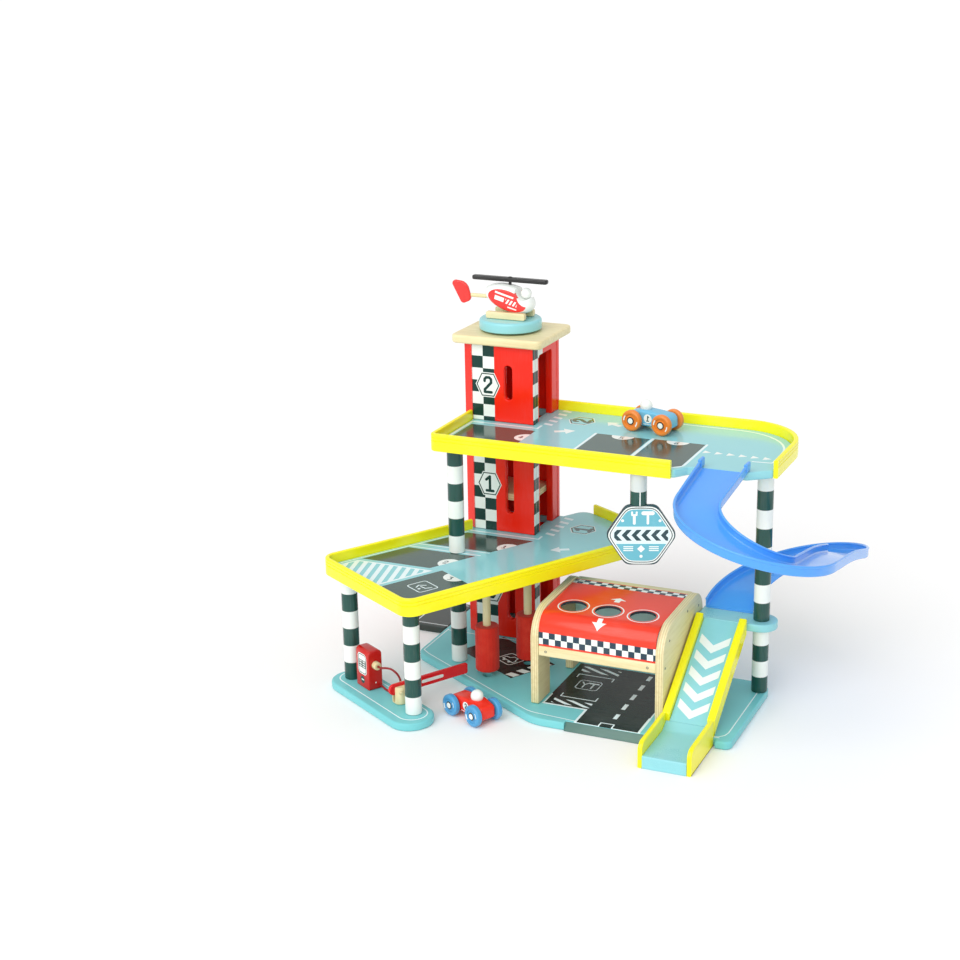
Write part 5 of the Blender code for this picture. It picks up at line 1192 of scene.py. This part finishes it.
def makeSign(size):
    tall, half, flat, soft = size["height"] / 2, size["width"] / 2 + size["point"], size["flat"] / 2, size["soft"]
    corners = [(-flat, -tall, soft), (flat, -tall, soft), (half, 0.0, soft), (flat, tall, soft), (-flat, tall, soft),
               (-half, 0.0, soft)]
    c, s = cos(size["turn"]), sin(size["turn"])
    middle = (size["postX"] + size["offset"] * c, size["y"] + size["offset"] * s, size["top"] - tall)
    board = slab("signBoard", [rounded(corners)], size["thick"], standing(middle, (c, s, 0)), .0009)
    settle(board, signPaint(size), "sign_board")
    # the post is half cut away behind the sign
    low, high, radius = size["postLow"], size["postHigh"], size["post"]
    profile = rounded([(0, 0), (radius, 0, .0007), (radius, high - low, .0007), (0, high - low)], closed=False)
    post = lathe("signPost", profile, lying(low, size["postX"], size["y"]), 64)
    notch = slab("notch", [boxLine(-.02, .02, -.02, seat)], size["notch"],
                 lying(low - .010, size["postX"], size["y"], size["turn"]), .0)
    post = cutWith(post, [notch])
    recipe = Recipe("postBands")
    light = recipe.z > size["bandEnd"]
    x, y = recipe.x - size["postX"], recipe.y - size["y"]
    aside, behind = x * c + y * s, y * c - x * s
    # a thin white line down the post's face, below the pale top band: a painted highlight
    hair = (abs(aside - size["hair"][0]) < size["hair"][1]) * (behind < 0.0) * (recipe.z < size["bandEnd"])
    colour = recipe.mix(light, colours["bandDark"], colours["postLight"])
    settle(post, lacquer(recipe, recipe.mix(hair, colour, colours["white"]), 0.24, upright), "sign_post")


makeColumns(columnSize)
makeSign(signSize)
print("columns and sign ready")

# washing rollers
rollerSize = {
    "spots": (("front", -.1082, -.0578), ("back", -.0788, -.0100)), "brush": .0135, "brushLow": .0165,
    "brushHigh": .070, "dowel": .0045, "low": .0158, "high": .1367, "ribs": 22, "ribDepth": .00022,
    "felt": {"bump": 0.7, "depth": .0006, "fixed": {"Sheen Weight": 0.12, "Specular IOR Level": 0.2}}}


def feltPaint(look):
    # short red pile: colour and height from fine noise in two sizes
    recipe = Recipe("brushFelt")
    tuft = recipe.noise(900.0, 3.0, 0.7)
    cloud = recipe.noise(60.0, 3.0)
    colour = recipe.mix(tuft, colours["feltDeep"], colours["felt"])
    colour = recipe.mix((cloud - 0.45).most(0.0) * 1.2, colour, colours["feltPale"])
    return recipe.finish(colour, 0.72 + tuft * 0.2, tuft + cloud * 0.5, look)


def makeRollers(size):
    felt, wood = feltPaint(size["felt"]), birch("rollerWood", "z")
    for label, x, y in size["spots"]:
        # brush: radius = brush - depth (1 + cos(ribs a)) / 2 round the axis
        profile = rounded([(.0048, size["brushLow"]), (size["brush"], size["brushLow"], .0022),
                           (size["brush"], size["brushHigh"], .0022), (.0048, size["brushHigh"])], closed=False)
        angles = np.linspace(0, 2 * pi, 132, endpoint=False)
        dip = size["ribDepth"] * (1 + np.cos(size["ribs"] * angles)) / 2
        radius = profile[:, :1] - dip[None] * (profile[:, :1] > .009)
        grid = np.stack([x + radius * np.cos(angles), y + radius * np.sin(angles),
                         np.repeat(profile[:, 1:], len(angles), 1)], -1)
        settle(gridBody("washBrush_" + label, grid), felt, "wash_roller_" + label)
        pole = rounded([(0, size["low"]), (size["dowel"], size["low"], .0006), (size["dowel"], size["high"], .0006),
                        (0, size["high"])], closed=False)
        settle(lathe("washPole_" + label, pole, lying(0.0, x, y), 40), wood, "wash_roller_" + label, False)


makeRollers(rollerSize)
print("rollers ready")

# pump and barrier
gateSize = {
    "across": .0451, "along": -.2124, "length": .024, "width": .018, "height": .020, "round": .007, "pivotBack": .007,
    "pivotHeight": .0147, "arm": .1025, "armHeight": .0125, "armThick": .004, "tail": .0115, "pin": .002}
pumpPrint = {
    "middle": .0285, "half": (.0040, .0075), "rim": .0050, "dark": .0040, "pale": .0030, "paleFrom": .0045,
    "barStep": .0028, "bars": (.0042, .0060, .0010), "seal": (0.0, .0095, .0042), "dash": (-.0026, .0026, .0088, .0104),
    "dot": (0.0, .0168, .0009), "plug": (0.0, .0080, .0009)}


def pumpPaint(size, marks):
    # marks on the face that looks along the deck, and a small screw plug beside the nozzle
    recipe = Recipe("pumpPaint")
    across, along = wingPoint(recipe)
    n, s, z = across - size["across"], along - size["along"], recipe.z - standOn
    sideways = abs(recipe.facing[0] * float(alongWing[0]) + recipe.facing[1] * float(alongWing[1])) > 0.7
    # gauge: within a rounded panel, pale fields at its top and foot and a dark one with pale bars between
    aside, height = abs(n), z - marks["middle"]
    tall, wide, clear = marks["bars"]
    reach = recipe.plane((aside - marks["half"][0]).most(0.0), (abs(height) - marks["half"][1]).most(0.0))
    reach = recipe.vector("LENGTH", reach)
    pale = (abs(height) > marks["paleFrom"]) * (reach < marks["pale"])
    bars = (abs(height) < tall) * ((height / marks["barStep"] + 0.25).fraction() < 0.5)
    bars = bars * (aside < wide) * (aside > clear)
    panel = recipe.mix(reach < marks["rim"], colours["pump"], colours["white"])
    panel = recipe.mix(reach < marks["dark"], panel, colours["checkDark"])
    panel = recipe.mix(pale.most(bars), panel, colours["white"])
    panel = recipe.mix(recipe.discs(n, z, marks["seal"]), panel, colours["checkDark"])
    panel = recipe.mix(recipe.box(n, z, *marks["dash"]).most(recipe.discs(n, z, marks["dot"])), panel, colours["white"])
    plain = recipe.mix(recipe.discs(s, z, marks["plug"]), colours["pump"], colours["white"])
    return lacquer(recipe, recipe.mix(sideways, plain, panel), 0.24)


def makeFuel(pump, gate):
    half = pump["depth"] / 2
    face = rounded([(-half, 0.0, .0008), (half, 0.0, .0008), (half, pump["height"], .005),
                    (-half, pump["height"], .005)])
    origin = (*onWing(pump["across"] - pump["width"] / 2, pump["along"])[:2], standOn)
    box = slab("fuelPump", [face], pump["width"], standing(origin, (*alongWing, 0.0)), .0013)
    mouth = (*onWing(pump["across"] + pump["width"] / 2 - .0063, pump["along"])[:2], hoseSize["nozzleZ"])
    place = standing(mouth, (0, 0, 1), np.cross((*acrossWing, 0.0), (0, 0, 1)))
    socket = rod("nozzleSocket", .0048, 0, .02, place, 40)
    settle(cutWith(box, [socket]), pumpPaint(pump, pumpPrint), "pump_body")

    wood = birch("gateWood", "z")
    centre = onWing(gate["across"], gate["along"])
    plan = boxLine(-gate["length"] / 2, gate["length"] / 2, -gate["width"] / 2, gate["width"] / 2, gate["round"])
    block = slab("gateBlock", [plan], gate["height"], lying(standOn, *centre[:2], wingTurn), .0014)
    slit = boxLine(-gate["length"], gate["length"], -gate["armThick"] / 2 - seat, gate["armThick"] / 2 + seat)
    slit = slab("gateSlit", [slit], gate["height"], lying(standOn + .0018, *centre[:2], wingTurn), .00002)
    pivot = np.array((*onWing(gate["across"], gate["along"] - gate["pivotBack"])[:2], .009 + gate["pivotHeight"]))
    origin, along, up, out = standing(pivot, (*alongWing, 0.0))
    bore = rod("gateBore", gate["pin"] + .0004, -.02, .02, (origin, along, up, out), 32)
    settle(cutWith(block, [slit, bore]), wood, "barrier_block")
    low, high = -gate["armHeight"] / 2 + .0025, gate["armHeight"] / 2 + .0025
    bar = rounded([(-gate["tail"], low, gate["armHeight"] * .49), (gate["arm"] - gate["tail"], low, .0022),
                   (gate["arm"] - gate["tail"], high, .0022), (-gate["tail"], high, gate["armHeight"] * .49)])
    arm = slab("gateArm", [bar], gate["armThick"], (origin - out * gate["armThick"] / 2, along, up, out), .0010)
    recipe = Recipe("gatePaint")
    s = wingPoint(recipe)[1] - (gate["along"] - gate["pivotBack"])
    z = recipe.z - float(pivot[2])
    # a white bar with round ends on either side of the arm
    stripe = recipe.vector("LENGTH", recipe.plane((abs(s - .0440) - .0125).most(0.0), z - .0025)) < .0019
    settle(arm, lacquer(recipe, recipe.mix(stripe, colours["gate"], colours["white"]), 0.25), "barrier_arm")
    reach = gate["width"] / 2 + .0004
    pin = rounded([(0, -reach), (gate["pin"], -reach, .0005), (gate["pin"], reach, .0005), (0, reach)], closed=False)
    settle(lathe("gatePin", pin, (origin, along, up, out), 28), wood, "barrier_arm", False)


makeFuel(pumpSize, gateSize)
print("pump and barrier ready")

# workshop
shopSize = {
    "left": -.033, "right": .119, "front": -.110, "back": .025, "wall": .009, "height": .107, "rise": .02,
    "frontRound": .032, "backRound": .026, "leg": .034, "arch": .076, "archRound": .015, "beamLow": .0665,
    "beamHigh": .078, "sheet": .003, "inset": .002, "sheetEnd": .002, "hole": .0145, "pitch": .040, "holeY": -.073,
    "beamScrews": ((-.0155, .0722), (.1010, .0722)),
    "sideScrews": ((-.1035, .0722), (-.0900, .0985), (-.0300, .1095), (.0085, .1020), (-.0980, .0180)),
    "board": (-.0013, .0019, .0670)}


def shopTop(y):
    return .009 + shopSize["height"] + (y - shopSize["front"]) * shopSize["rise"]


roofPrint = {
    "ring": (.0169, .0007), "arrows": ((-.1000, pi, .0125, .0165), (-.0415, 0.0, .0120, .0185)), "printFrom": .088,
    "shadedHoleWall": .0156, "check": .0070, "front": (.0802, .0942, -.09), "rear": (-.0100, .0004), "rearStretch": 1.35}


def roofPaint(size, marks):
    # red with ringed holes whose walls are painted dark as painted shade, two arrows and a chequered strip at the front
    # and at the back
    recipe = Recipe("shopRoofPaint")
    x, y, z = recipe.x, recipe.y, recipe.z
    middle = (size["left"] + size["right"]) / 2
    # distance to the nearest of the three holes: x folded about the middle one
    aside = abs(x - middle)
    away = recipe.vector("LENGTH", recipe.plane(aside.least(abs(aside - size["pitch"])), y - size["holeY"]))
    ring = abs(away - marks["ring"][0]) < marks["ring"][1]
    arrows = [arrowMark(recipe, x, y, (middle, place), turn, length, width)
              for place, turn, length, width in marks["arrows"]]
    colour = recipe.mix(ring.most(*arrows) * (z > marks["printFrom"]), colours["roofRed"], colours["white"])
    # painted shade: the near-upright faces close round each of the three holes, their walls, are painted dark
    colour = recipe.mix((away < marks["shadedHoleWall"]) * (abs(recipe.facing[2]) < 0.6), colour, colours["shadedHoleWall"])
    low, high, reach = marks["front"]
    rearStart, rearEnd = marks["rear"]
    for where, v in (((z < high) * (y < reach) * (z > low), z - low),
                     (recipe.box(x, y, size["left"], size["right"], rearStart, rearEnd),
                      (y - rearStart) * marks["rearStretch"])):
        checks = recipe.mix(recipe.checks(x - size["left"], v, marks["check"]), colours["navy"], colours["white"])
        colour = recipe.mix(where, colour, checks)
    return lacquer(recipe, colour, 0.24, (1.0, 10.0, 10.0))


def makeScrews(spots):
    # low round heads with a round recess
    steel = Recipe("screwSteel")
    fine = steel.noise(900.0, 2.0)
    steel.link("Base Color", steel.mix(fine * 0.4, colours["steel"], colours["steelDark"]))
    steel.link("Roughness", 0.30 + fine * 0.15)
    steel.shader.inputs["Metallic"].default_value = 0.9
    for index, (spot, facing) in enumerate(spots):
        facing = np.array(facing, float)
        up = np.array((0.0, 0.0, 1.0))
        place = (np.array(spot), np.cross(up, facing), up, facing)
        profile = [(0, -.0004), (.0005, -.0004), (.0007, .0002), (.0011, .00035), (.0015, .0001), (.0016, -.0003),
                   (.0016, -.0006), (0, -.0006)]
        piece = lathe("screw_%d" % (index + 1), profile, place, 20)
        piece.data.materials.append(steel.material)
        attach(piece, "garage")


def makeWorkshop(size):
    back, front, floor = size["back"], size["front"], standOn
    top = [(back, shopTop(back), size["backRound"]), (front, shopTop(front), size["frontRound"])]
    solid = rounded([(front, floor, .002), (back, floor, .002)] + top)
    arch = .009 + size["arch"]
    legs = rounded([(front, floor, .002), (front + size["leg"], floor, .002),
                     (front + size["leg"], arch, size["archRound"]),
                     (back - size["leg"], arch, size["archRound"]), (back - size["leg"], floor, .002),
                     (back, floor, .002)] + top)
    for label, line, x in (("right", solid, size["right"] - size["wall"]), ("left", legs, size["left"])):
        sheet = slab("shopSide_" + label, [line], size["wall"], crosswise(x), .0012)
        settle(sheet, birch("shopSideWood_" + label, "y", ("x", x, .0013)), "workshop_%s_side" % label)
    inner = size["left"] + size["wall"] + seat
    width = size["right"] - size["wall"] - seat - inner
    across = crosswise(inner)
    beam = boxLine(front + .001, front + .010, size["beamLow"], size["beamHigh"], .0016)
    settle(slab("frontBeam", [beam], width, across, .0005), birch("beamWood", "x"), "workshop_front_beam")
    path = [(size["sheetEnd"], shopTop(size["sheetEnd"])), (front, shopTop(front), size["frontRound"]),
            (front, size["beamHigh"] + seat)]
    outside = rounded(beside(path, -size["inset"]), closed=False)
    inside = rounded(beside(path, -size["inset"] - size["sheet"]), closed=False)
    roof = slab("shopRoof", [np.concatenate([outside, inside[::-1]])], width, across, .0004, 3)
    tilt = size["rise"] / hypot(1.0, size["rise"])
    cutters = []
    for index in (-1, 0, 1):
        spot = ((size["left"] + size["right"]) / 2 + index * size["pitch"], size["holeY"], shopTop(size["holeY"]))
        place = standing(spot, (1, 0, 0), (0, (1 - tilt ** 2) ** 0.5, tilt))
        cutters.append(rod("roofHole_%d" % (index + 2), size["hole"], -size["hole"], size["hole"], place, 64))
    settle(cutWith(roof, cutters), roofPaint(size, roofPrint), "workshop_roof")
    start = size["sheetEnd"] + (size["inset"] + size["sheet"]) * size["rise"] + seat
    end = start + .012
    under = shopTop(start) - size["inset"] - .014
    back = rounded([(start, under, .0012), (end, under, .0012), (end, shopTop(end) - size["inset"] - .001, .003),
                    (start, shopTop(start) - size["inset"], .0006)])
    settle(slab("backBeam", [back], width, across, .0004), birch("backBeamWood", "x"), "workshop_back_beam")
    # a back board under the roof, its pale aqua painted light because the board stands in shade: only its upper half
    # shows, through the three holes
    board = boxLine(*size["board"], shopTop(0.0) - size["inset"] - size["sheet"] - .0004, .0006)
    settle(slab("shopBackBoard", [board], width, across, .0004), painted("litBackBoardPaint", colours["litBackBoard"], 0.34),
           "workshop_back_beam", False)
    makeScrews([((x, front + .001, z), (0, -1, 0)) for x, z in size["beamScrews"]]
               + [((size["right"], y, z), (1, 0, 0)) for y, z in size["sideScrews"]])


makeWorkshop(shopSize)
print("workshop ready")

# landing, ramp and foot
rampSize = {
    "left": .121, "right": .179, "rail": .0085, "board": .0125, "slope": .642, "top": .094, "front": -.004,
    "railRise": .0071, "bay": -.1187, "footFront": -.195, "footFloor": .014, "cheek": .005, "footTop": .029,
    "chevronFoot": -.1140, "chevronStep": .0180, "chevronHalf": .0168, "chevrons": 5}


def rampHeight(y):
    return rampSize["top"] + (y - rampSize["front"]) * rampSize["slope"]


def makeRamp(size):
    landing = rounded([(.1193, -.004, .002), (.208, -.004, .018), (.208, .032, .018), (.1193, .032, .002)])
    settle(slab("landingBoard", [landing], .009, lying(size["top"] - .009), .0014),
           painted("landingPaint", colours["aqua"], 0.28), "landing_board")
    back, floor = size["front"] - seat, standOn
    meets = size["front"] + (floor - size["top"] + size["board"]) / size["slope"]

    def sloping(rise, end, soft):
        return rounded([(end, floor, soft * .3), (meets, floor), (back, rampHeight(back) - size["board"], soft),
                        (back, rampHeight(back) + rise, soft),
                        (end, rampHeight(end) + rise, soft)])

    recipe = Recipe("rampPaint")
    x, y = recipe.x - (size["left"] + size["right"]) / 2, recipe.y
    # chevrons: y - 0.66 |x| counted in equal steps, pointing down the ramp
    steps = (y - size["chevronFoot"] - abs(x) * 0.66) / size["chevronStep"]
    chevrons = (steps.fraction() < 0.50) * (abs(x) < size["chevronHalf"])
    chevrons = chevrons * (steps > 0.0) * (steps < float(size["chevrons"]))
    colour = recipe.mix(chevrons * (recipe.facing[2] > 0.5), colours["aqua"], colours["white"])
    middle = slab("rampBoard", [sloping(0.0, size["bay"] + seat, .0006)],
                  size["right"] - size["left"] - 2 * (size["rail"] + seat),
                  crosswise(size["left"] + size["rail"] + seat), .0005)
    settle(middle, lacquer(recipe, colour, 0.26), "ramp_board")
    yellow = painted("rampYellow", colours["yellow"], 0.24, alongRail)
    for label, left in (("left", size["left"]), ("right", size["right"] - size["rail"])):
        rail = slab("rampRail_" + label, [sloping(size["railRise"], size["bay"] + .0013, .0015)], size["rail"],
                    crosswise(left), .0012)
        settle(rail, yellow, "ramp_rail_" + label)
    end = size["bay"] - seat
    tread = rounded([(end, 0.0), (end, rampHeight(end)), (end - .012, size["footFloor"], .015),
                     (size["footFront"], size["footFloor"], .0016), (size["footFront"], 0.0, .0005)])
    tread = slab("footTread", [tread], size["right"] - size["left"] - 2 * size["cheek"] - .0002,
                 crosswise(size["left"] + size["cheek"] + .0001), .0004)
    settle(tread, painted("footPaint", colours["aqua"], 0.28), "ramp_foot")
    cheek = rounded([(end, 0.0, .0006), (end, size["footTop"] + .001, .0025),
                     (size["footFront"], size["footTop"] - .001, .010), (size["footFront"], 0.0, .0006)])
    for label, left in (("Left", size["left"]), ("Right", size["right"] - size["cheek"])):
        settle(slab("footCheek" + label, [cheek], size["cheek"], crosswise(left), .0013), yellow, "ramp_foot", False)


makeRamp(rampSize)
print("ramp ready")

# slide
slideSize = {
    "x": .1562, "mouth": -.032, "straight": .080, "frontRadius": .0608, "side": .137, "rearRadius": .064,
    "fall": (0.0, 0.110, 0.320, 0.470, 0.700, 1.0), "halfWidths": (.0236, .0202, .0195, .0205, .0250), "floor": .0025,
    "split": .625, "stations": 210}


def eased(values, share):
    # Catmull-Rom through values at equal steps, read at shares of the whole
    values = np.asarray(values)
    padded = np.concatenate([[2 * values[0] - values[1]], values, [2 * values[-1] - values[-2]]])
    place = np.minimum(share * (len(values) - 1), len(values) - 1 - 1e-9)
    index = place.astype(int)
    t = place - index
    a, b, c, d = (padded[index + step] for step in range(4))
    return 0.5 * (2 * b + (c - a) * t + (2 * a - 5 * b + 4 * c - d) * t ** 2 + (3 * b - a - 3 * c + d) * t ** 3)


def slideRoute(size, run):
    # straight, half turn, straight, half turn back: place and heading after a run
    startY = size["mouth"] - seat
    turn, frontY = pi * size["frontRadius"], startY - size["straight"]
    first, second, third = size["straight"], size["straight"] + turn, size["straight"] + turn + size["side"]
    farX = size["x"] + 2 * size["frontRadius"]
    angleFront = pi + (run - first) / size["frontRadius"]
    angleRear = (run - third) / size["rearRadius"]
    stretches = [run < first, run < second, run < third]
    x = np.select(stretches, [size["x"] + 0 * run, size["x"] + size["frontRadius"] * (1 + np.cos(angleFront)),
                              farX + 0 * run],
                  farX - size["rearRadius"] * (1 - np.cos(angleRear)))
    y = np.select(stretches, [startY - run, frontY + size["frontRadius"] * np.sin(angleFront), frontY + run - second],
                  frontY + size["side"] + size["rearRadius"] * np.sin(angleRear))
    heading = np.select(stretches, [-pi / 2 + 0 * run, angleFront + pi / 2, pi / 2 + 0 * run], angleRear + pi / 2)
    return x, y, heading


def slideProfile():
    # half a trough as (distance from the inner wall line, height): soft corner, thin wall, a bead on top, a fillet
    corner, fillet = np.linspace(-pi / 2, 0, 5), np.linspace(0, -pi / 2, 6)
    bead = np.radians(np.linspace(-53.13, 233.13, 17))
    return np.concatenate([np.stack([.0004 + .002 * np.cos(corner), -.0005 + .002 * np.sin(corner)], 1),
                           np.stack([.0015 + .0015 * np.cos(bead), .0075 + .0015 * np.sin(bead)], 1),
                           np.stack([-.0014 + .002 * np.cos(fillet), .0020 + .002 * np.sin(fillet)], 1)])


plasticLook = {
    "bump": 0.10, "depth": 0.003,
    "fixed": {"Coat Weight": 0.4, "Coat Roughness": 0.08, "Subsurface Weight": 0.12,
              "Subsurface Radius": (0.002, 0.004, 0.008), "Subsurface Scale": 0.5}}


def slidePlastic(look):
    # moulded plastic: a deep clear blue with faint cloud and a long soft ripple
    recipe = Recipe("slidePlastic")
    cloud = recipe.noise(18.0, 2.0)
    grain = recipe.noise(700.0, 1.0)
    colour = recipe.mix(cloud * 0.35, colours["slide"], colours["slideDeep"])
    return recipe.finish(colour, 0.17 + cloud * 0.10 + grain * 0.03, cloud * 0.6 + grain * 0.02, look)


def makeSlide(size):
    length = size["straight"] + size["side"] + pi * (size["frontRadius"] + size["rearRadius"])
    half = slideProfile()
    plastic = slidePlastic(plasticLook)
    seam = .00015 / length
    for name, node, first, last in (("slideTop", "slide_upper", 0.0, size["split"] - seam),
                                    ("slideBottom", "slide_lower", size["split"] + seam, 1.0)):
        share = np.linspace(first, last, int(size["stations"] * (last - first)))
        x, y, heading = slideRoute(size, share * length)
        z = levels["upper"] + (levels["landing"] + seat + size["floor"] - levels["upper"]) * eased(size["fall"], share)
        inner = eased(size["halfWidths"], share)
        side = np.concatenate([inner[:, None] + half[None, :, 0], -(inner[:, None] + half[None, ::-1, 0])], 1)
        rise = np.concatenate([half[:, 1], half[::-1, 1]])[None]
        grid = np.stack([x[:, None] - np.sin(heading)[:, None] * side, y[:, None] + np.cos(heading)[:, None] * side,
                         z[:, None] + rise], -1)
        settle(gridBody(name, grid), plastic, node)
    reach = size["halfWidths"][0] + .0015
    for label, x in (("Left", size["x"] - reach), ("Right", size["x"] + reach)):
        plan = boxLine(x - .002, x + .002, size["mouth"] - .005, size["mouth"] + .009, .0019)
        settle(slab("slideKnob" + label, [plan], .010, lying(levels["upper"] + seat), .0015, 6), plastic, "slide_upper",
               False)


makeSlide(slideSize)
print("slide ready")

# cars
carSize = {
    "wheel": .012, "wheelThick": .007, "base": .0384, "track": .0288, "axle": .002, "width": .020, "clear": .006,
    "head": .007, "bonnet": .020, "crest": .0245, "waist": .0235, "boot": .0215, "overhang": .0085,
    "driver": (.0085, .0275), "badge": (.0010, .0155, .0050), "digit": .0062, "sill": (-.0070, .0070, .0085, .0094),
    "arcs": (.0084, .0007, 0.22), "groove": .0045, "hub": .0032}
carPlaces = {
    "red": {"place": (-.086, -.147, .0003), "turn": -26.4, "paint": "carRed", "wheels": "wheelBlue", "number": "2"},
    "blue": {"place": (.0375, .0817, .2753), "turn": 170.0, "paint": "carBlue", "wheels": "wheelOrange", "number": "1"}}


def carPaint(label, colour, ahead, side, origin, digit, size):
    # a numeral in a pale disc and a stripe along the sill, on both sides
    recipe = Recipe(label + "CarPaint")
    shifted = recipe.vector("SUBTRACT", recipe.point, tuple(origin))
    u = recipe.vector("DOT_PRODUCT", shifted, tuple(ahead))
    w = recipe.vector("DOT_PRODUCT", shifted, tuple(side))
    z = recipe.z - float(origin[2])
    cheek = (abs(w) > size["width"] / 2 - .0012)
    badge = recipe.discs(u, z, size["badge"])
    mark = numeral(recipe, u, z, digit, size["badge"][:2], size["digit"], 0.0, 0.2)
    sill = recipe.box(u, z, *size["sill"])
    paint = recipe.mix(badge.most(sill) * cheek, colours[colour], colours["white"])
    paint = recipe.mix(mark * badge * cheek, paint, colours["checkDark"])
    return lacquer(recipe, paint, 0.24)


def wheelPaint(label, colour, ahead, side, centre, size):
    # two short pale arcs, a dark groove and a pale hub: all from the distance and angle round the axle
    recipe = Recipe(label)
    shifted = recipe.vector("SUBTRACT", recipe.point, tuple(centre))
    u = recipe.vector("DOT_PRODUCT", shifted, tuple(ahead))
    w = abs(recipe.vector("DOT_PRODUCT", shifted, tuple(side)))
    z = recipe.z - float(centre[2])
    radius = recipe.vector("LENGTH", recipe.plane(u, z))
    turn = recipe.maths("ARCTAN2", z, u)
    outside = w > size["track"] / 2 + size["wheelThick"] / 2 - .0022
    middle, half, share = size["arcs"]
    dashes = (abs(radius - middle) < half) * ((turn * (1 / pi)).fraction() < share) * outside
    ring = (radius < size["groove"]) * outside
    hub = (radius < size["hub"]) * outside
    paint = recipe.mix(ring, colours[colour], colours["rotor"])
    paint = recipe.mix(dashes.most(hub), paint, colours["white"])
    return lacquer(recipe, paint, 0.28, (4.0, 4.0, 4.0))


def makeCar(label, place, size):
    origin = np.array(place["place"])
    ahead, side, up = lying(0.0, turn=radians(place["turn"]))[1:]
    tail, nose = -size["base"] / 2 - size["overhang"], size["base"] / 2 + size["overhang"]
    line = rounded([(tail, size["clear"], .003), (nose, size["clear"], .003), (nose, size["bonnet"], .006),
                    (.0110, size["crest"], .010),
                    (-.0060, size["waist"], .012), (tail, size["boot"], .008)])
    body = slab(label + "CarBody", [line], size["width"], (origin + side * size["width"] / 2, ahead, up, -side), .0032,
                7)
    cutters = []
    for along in (size["base"] / 2, -size["base"] / 2):
        spot = origin + ahead * along + up * size["wheel"]
        cutters.append(rod("axleBore", size["axle"] + .0004, -.02, .02, (spot, ahead, up, -side), 32))
    paint = carPaint(label, place["paint"], ahead, side, origin, place["number"], size)
    settle(cutWith(body, cutters), paint, label + "_car_body")
    head = sphere(label + "CarDriver", size["head"],
                  (origin + ahead * size["driver"][0] + up * size["driver"][1], ahead, side, up), 44)
    settle(head, painted(label + "DriverPaint", colours["white"], 0.25, (1, 1, 14)), label + "_car_body", False)
    outside, inside = size["track"] / 2 + size["wheelThick"] / 2, size["track"] / 2 - size["wheelThick"] / 2
    rim = rounded([(0, outside), (.0030, outside, .0005), (.0036, outside - .0008, .0004),
                   (.0050, outside - .0008, .0003), (.0054, outside - .0016), (.0072, outside - .0016),
                   (.0078, outside - seat, .0004), (.0098, outside - .0001, .002),
                   (size["wheel"], outside - .0012, .0020), (size["wheel"], inside, .0015),
                   (size["axle"], inside)], closed=False)
    profile = np.concatenate([rim, rim[::-1] * (1, -1)])
    for end, along in (("front", size["base"] / 2), ("rear", -size["base"] / 2)):
        centre = origin + ahead * along + up * size["wheel"]
        wheels = lathe("%sCar%sWheels" % (label, end.capitalize()), profile[::-1], (centre, ahead, up, -side), 72)
        settle(wheels, wheelPaint("%sWheels_%s" % (label, end), place["wheels"], ahead, side, centre, size),
               "%s_car_%s_wheels" % (label, end))


for label, place in carPlaces.items():
    makeCar(label, place, carSize)
print("cars ready")

# floor and light
studio = {
    "world": 0.74, "sun": (1.9, radians(62), (radians(50), 0.0, radians(-6))), "fill": ((1.6, -0.9, 1.3), 1.5, 1.6)}


def makeStudio(look):
    mesh = bpy.data.meshes.new("floor")
    mesh.from_pydata([(-30, -30, 0), (30, -30, 0), (30, 30, 0), (-30, 30, 0)], [], [(0, 1, 2, 3)])
    floor = bpy.data.objects.new("floor", mesh)
    floor.location.z = -0.0002
    bpy.context.scene.collection.objects.link(floor)
    recipe = Recipe("floorPaper")
    soft = recipe.noise(3.0, 2.0)
    recipe.link("Base Color", recipe.mix(soft * 0.1, colours["floor"], colours["floorShade"]))
    recipe.shader.inputs["Roughness"].default_value = 0.85
    mesh.materials.append(recipe.material)
    world = bpy.data.worlds.new("studio")
    world.use_nodes = True
    world.node_tree.nodes["Background"].inputs["Color"].default_value = (1.0, 1.0, 1.0, 1.0)
    world.node_tree.nodes["Background"].inputs["Strength"].default_value = look["world"]
    bpy.context.scene.world = world
    bpy.context.scene.view_settings.view_transform = "Standard"    # colours as on the printed page
    strength, spread, turn = look["sun"]
    data = bpy.data.lights.new("sun", "SUN")
    data.energy, data.angle = strength, spread
    sun = bpy.data.objects.new("sun", data)
    sun.rotation_euler = turn
    bpy.context.scene.collection.objects.link(sun)
    place, power, size = look["fill"]
    data = bpy.data.lights.new("fill", "AREA")
    data.energy, data.size = power, size
    lamp = bpy.data.objects.new("fill", data)
    lamp.location = place
    lamp.rotation_euler = (Vector((0.02, -0.02, 0.15)) - Vector(place)).to_track_quat("-Z", "Y").to_euler()
    bpy.context.scene.collection.objects.link(lamp)


makeStudio(studio)
print("studio ready")
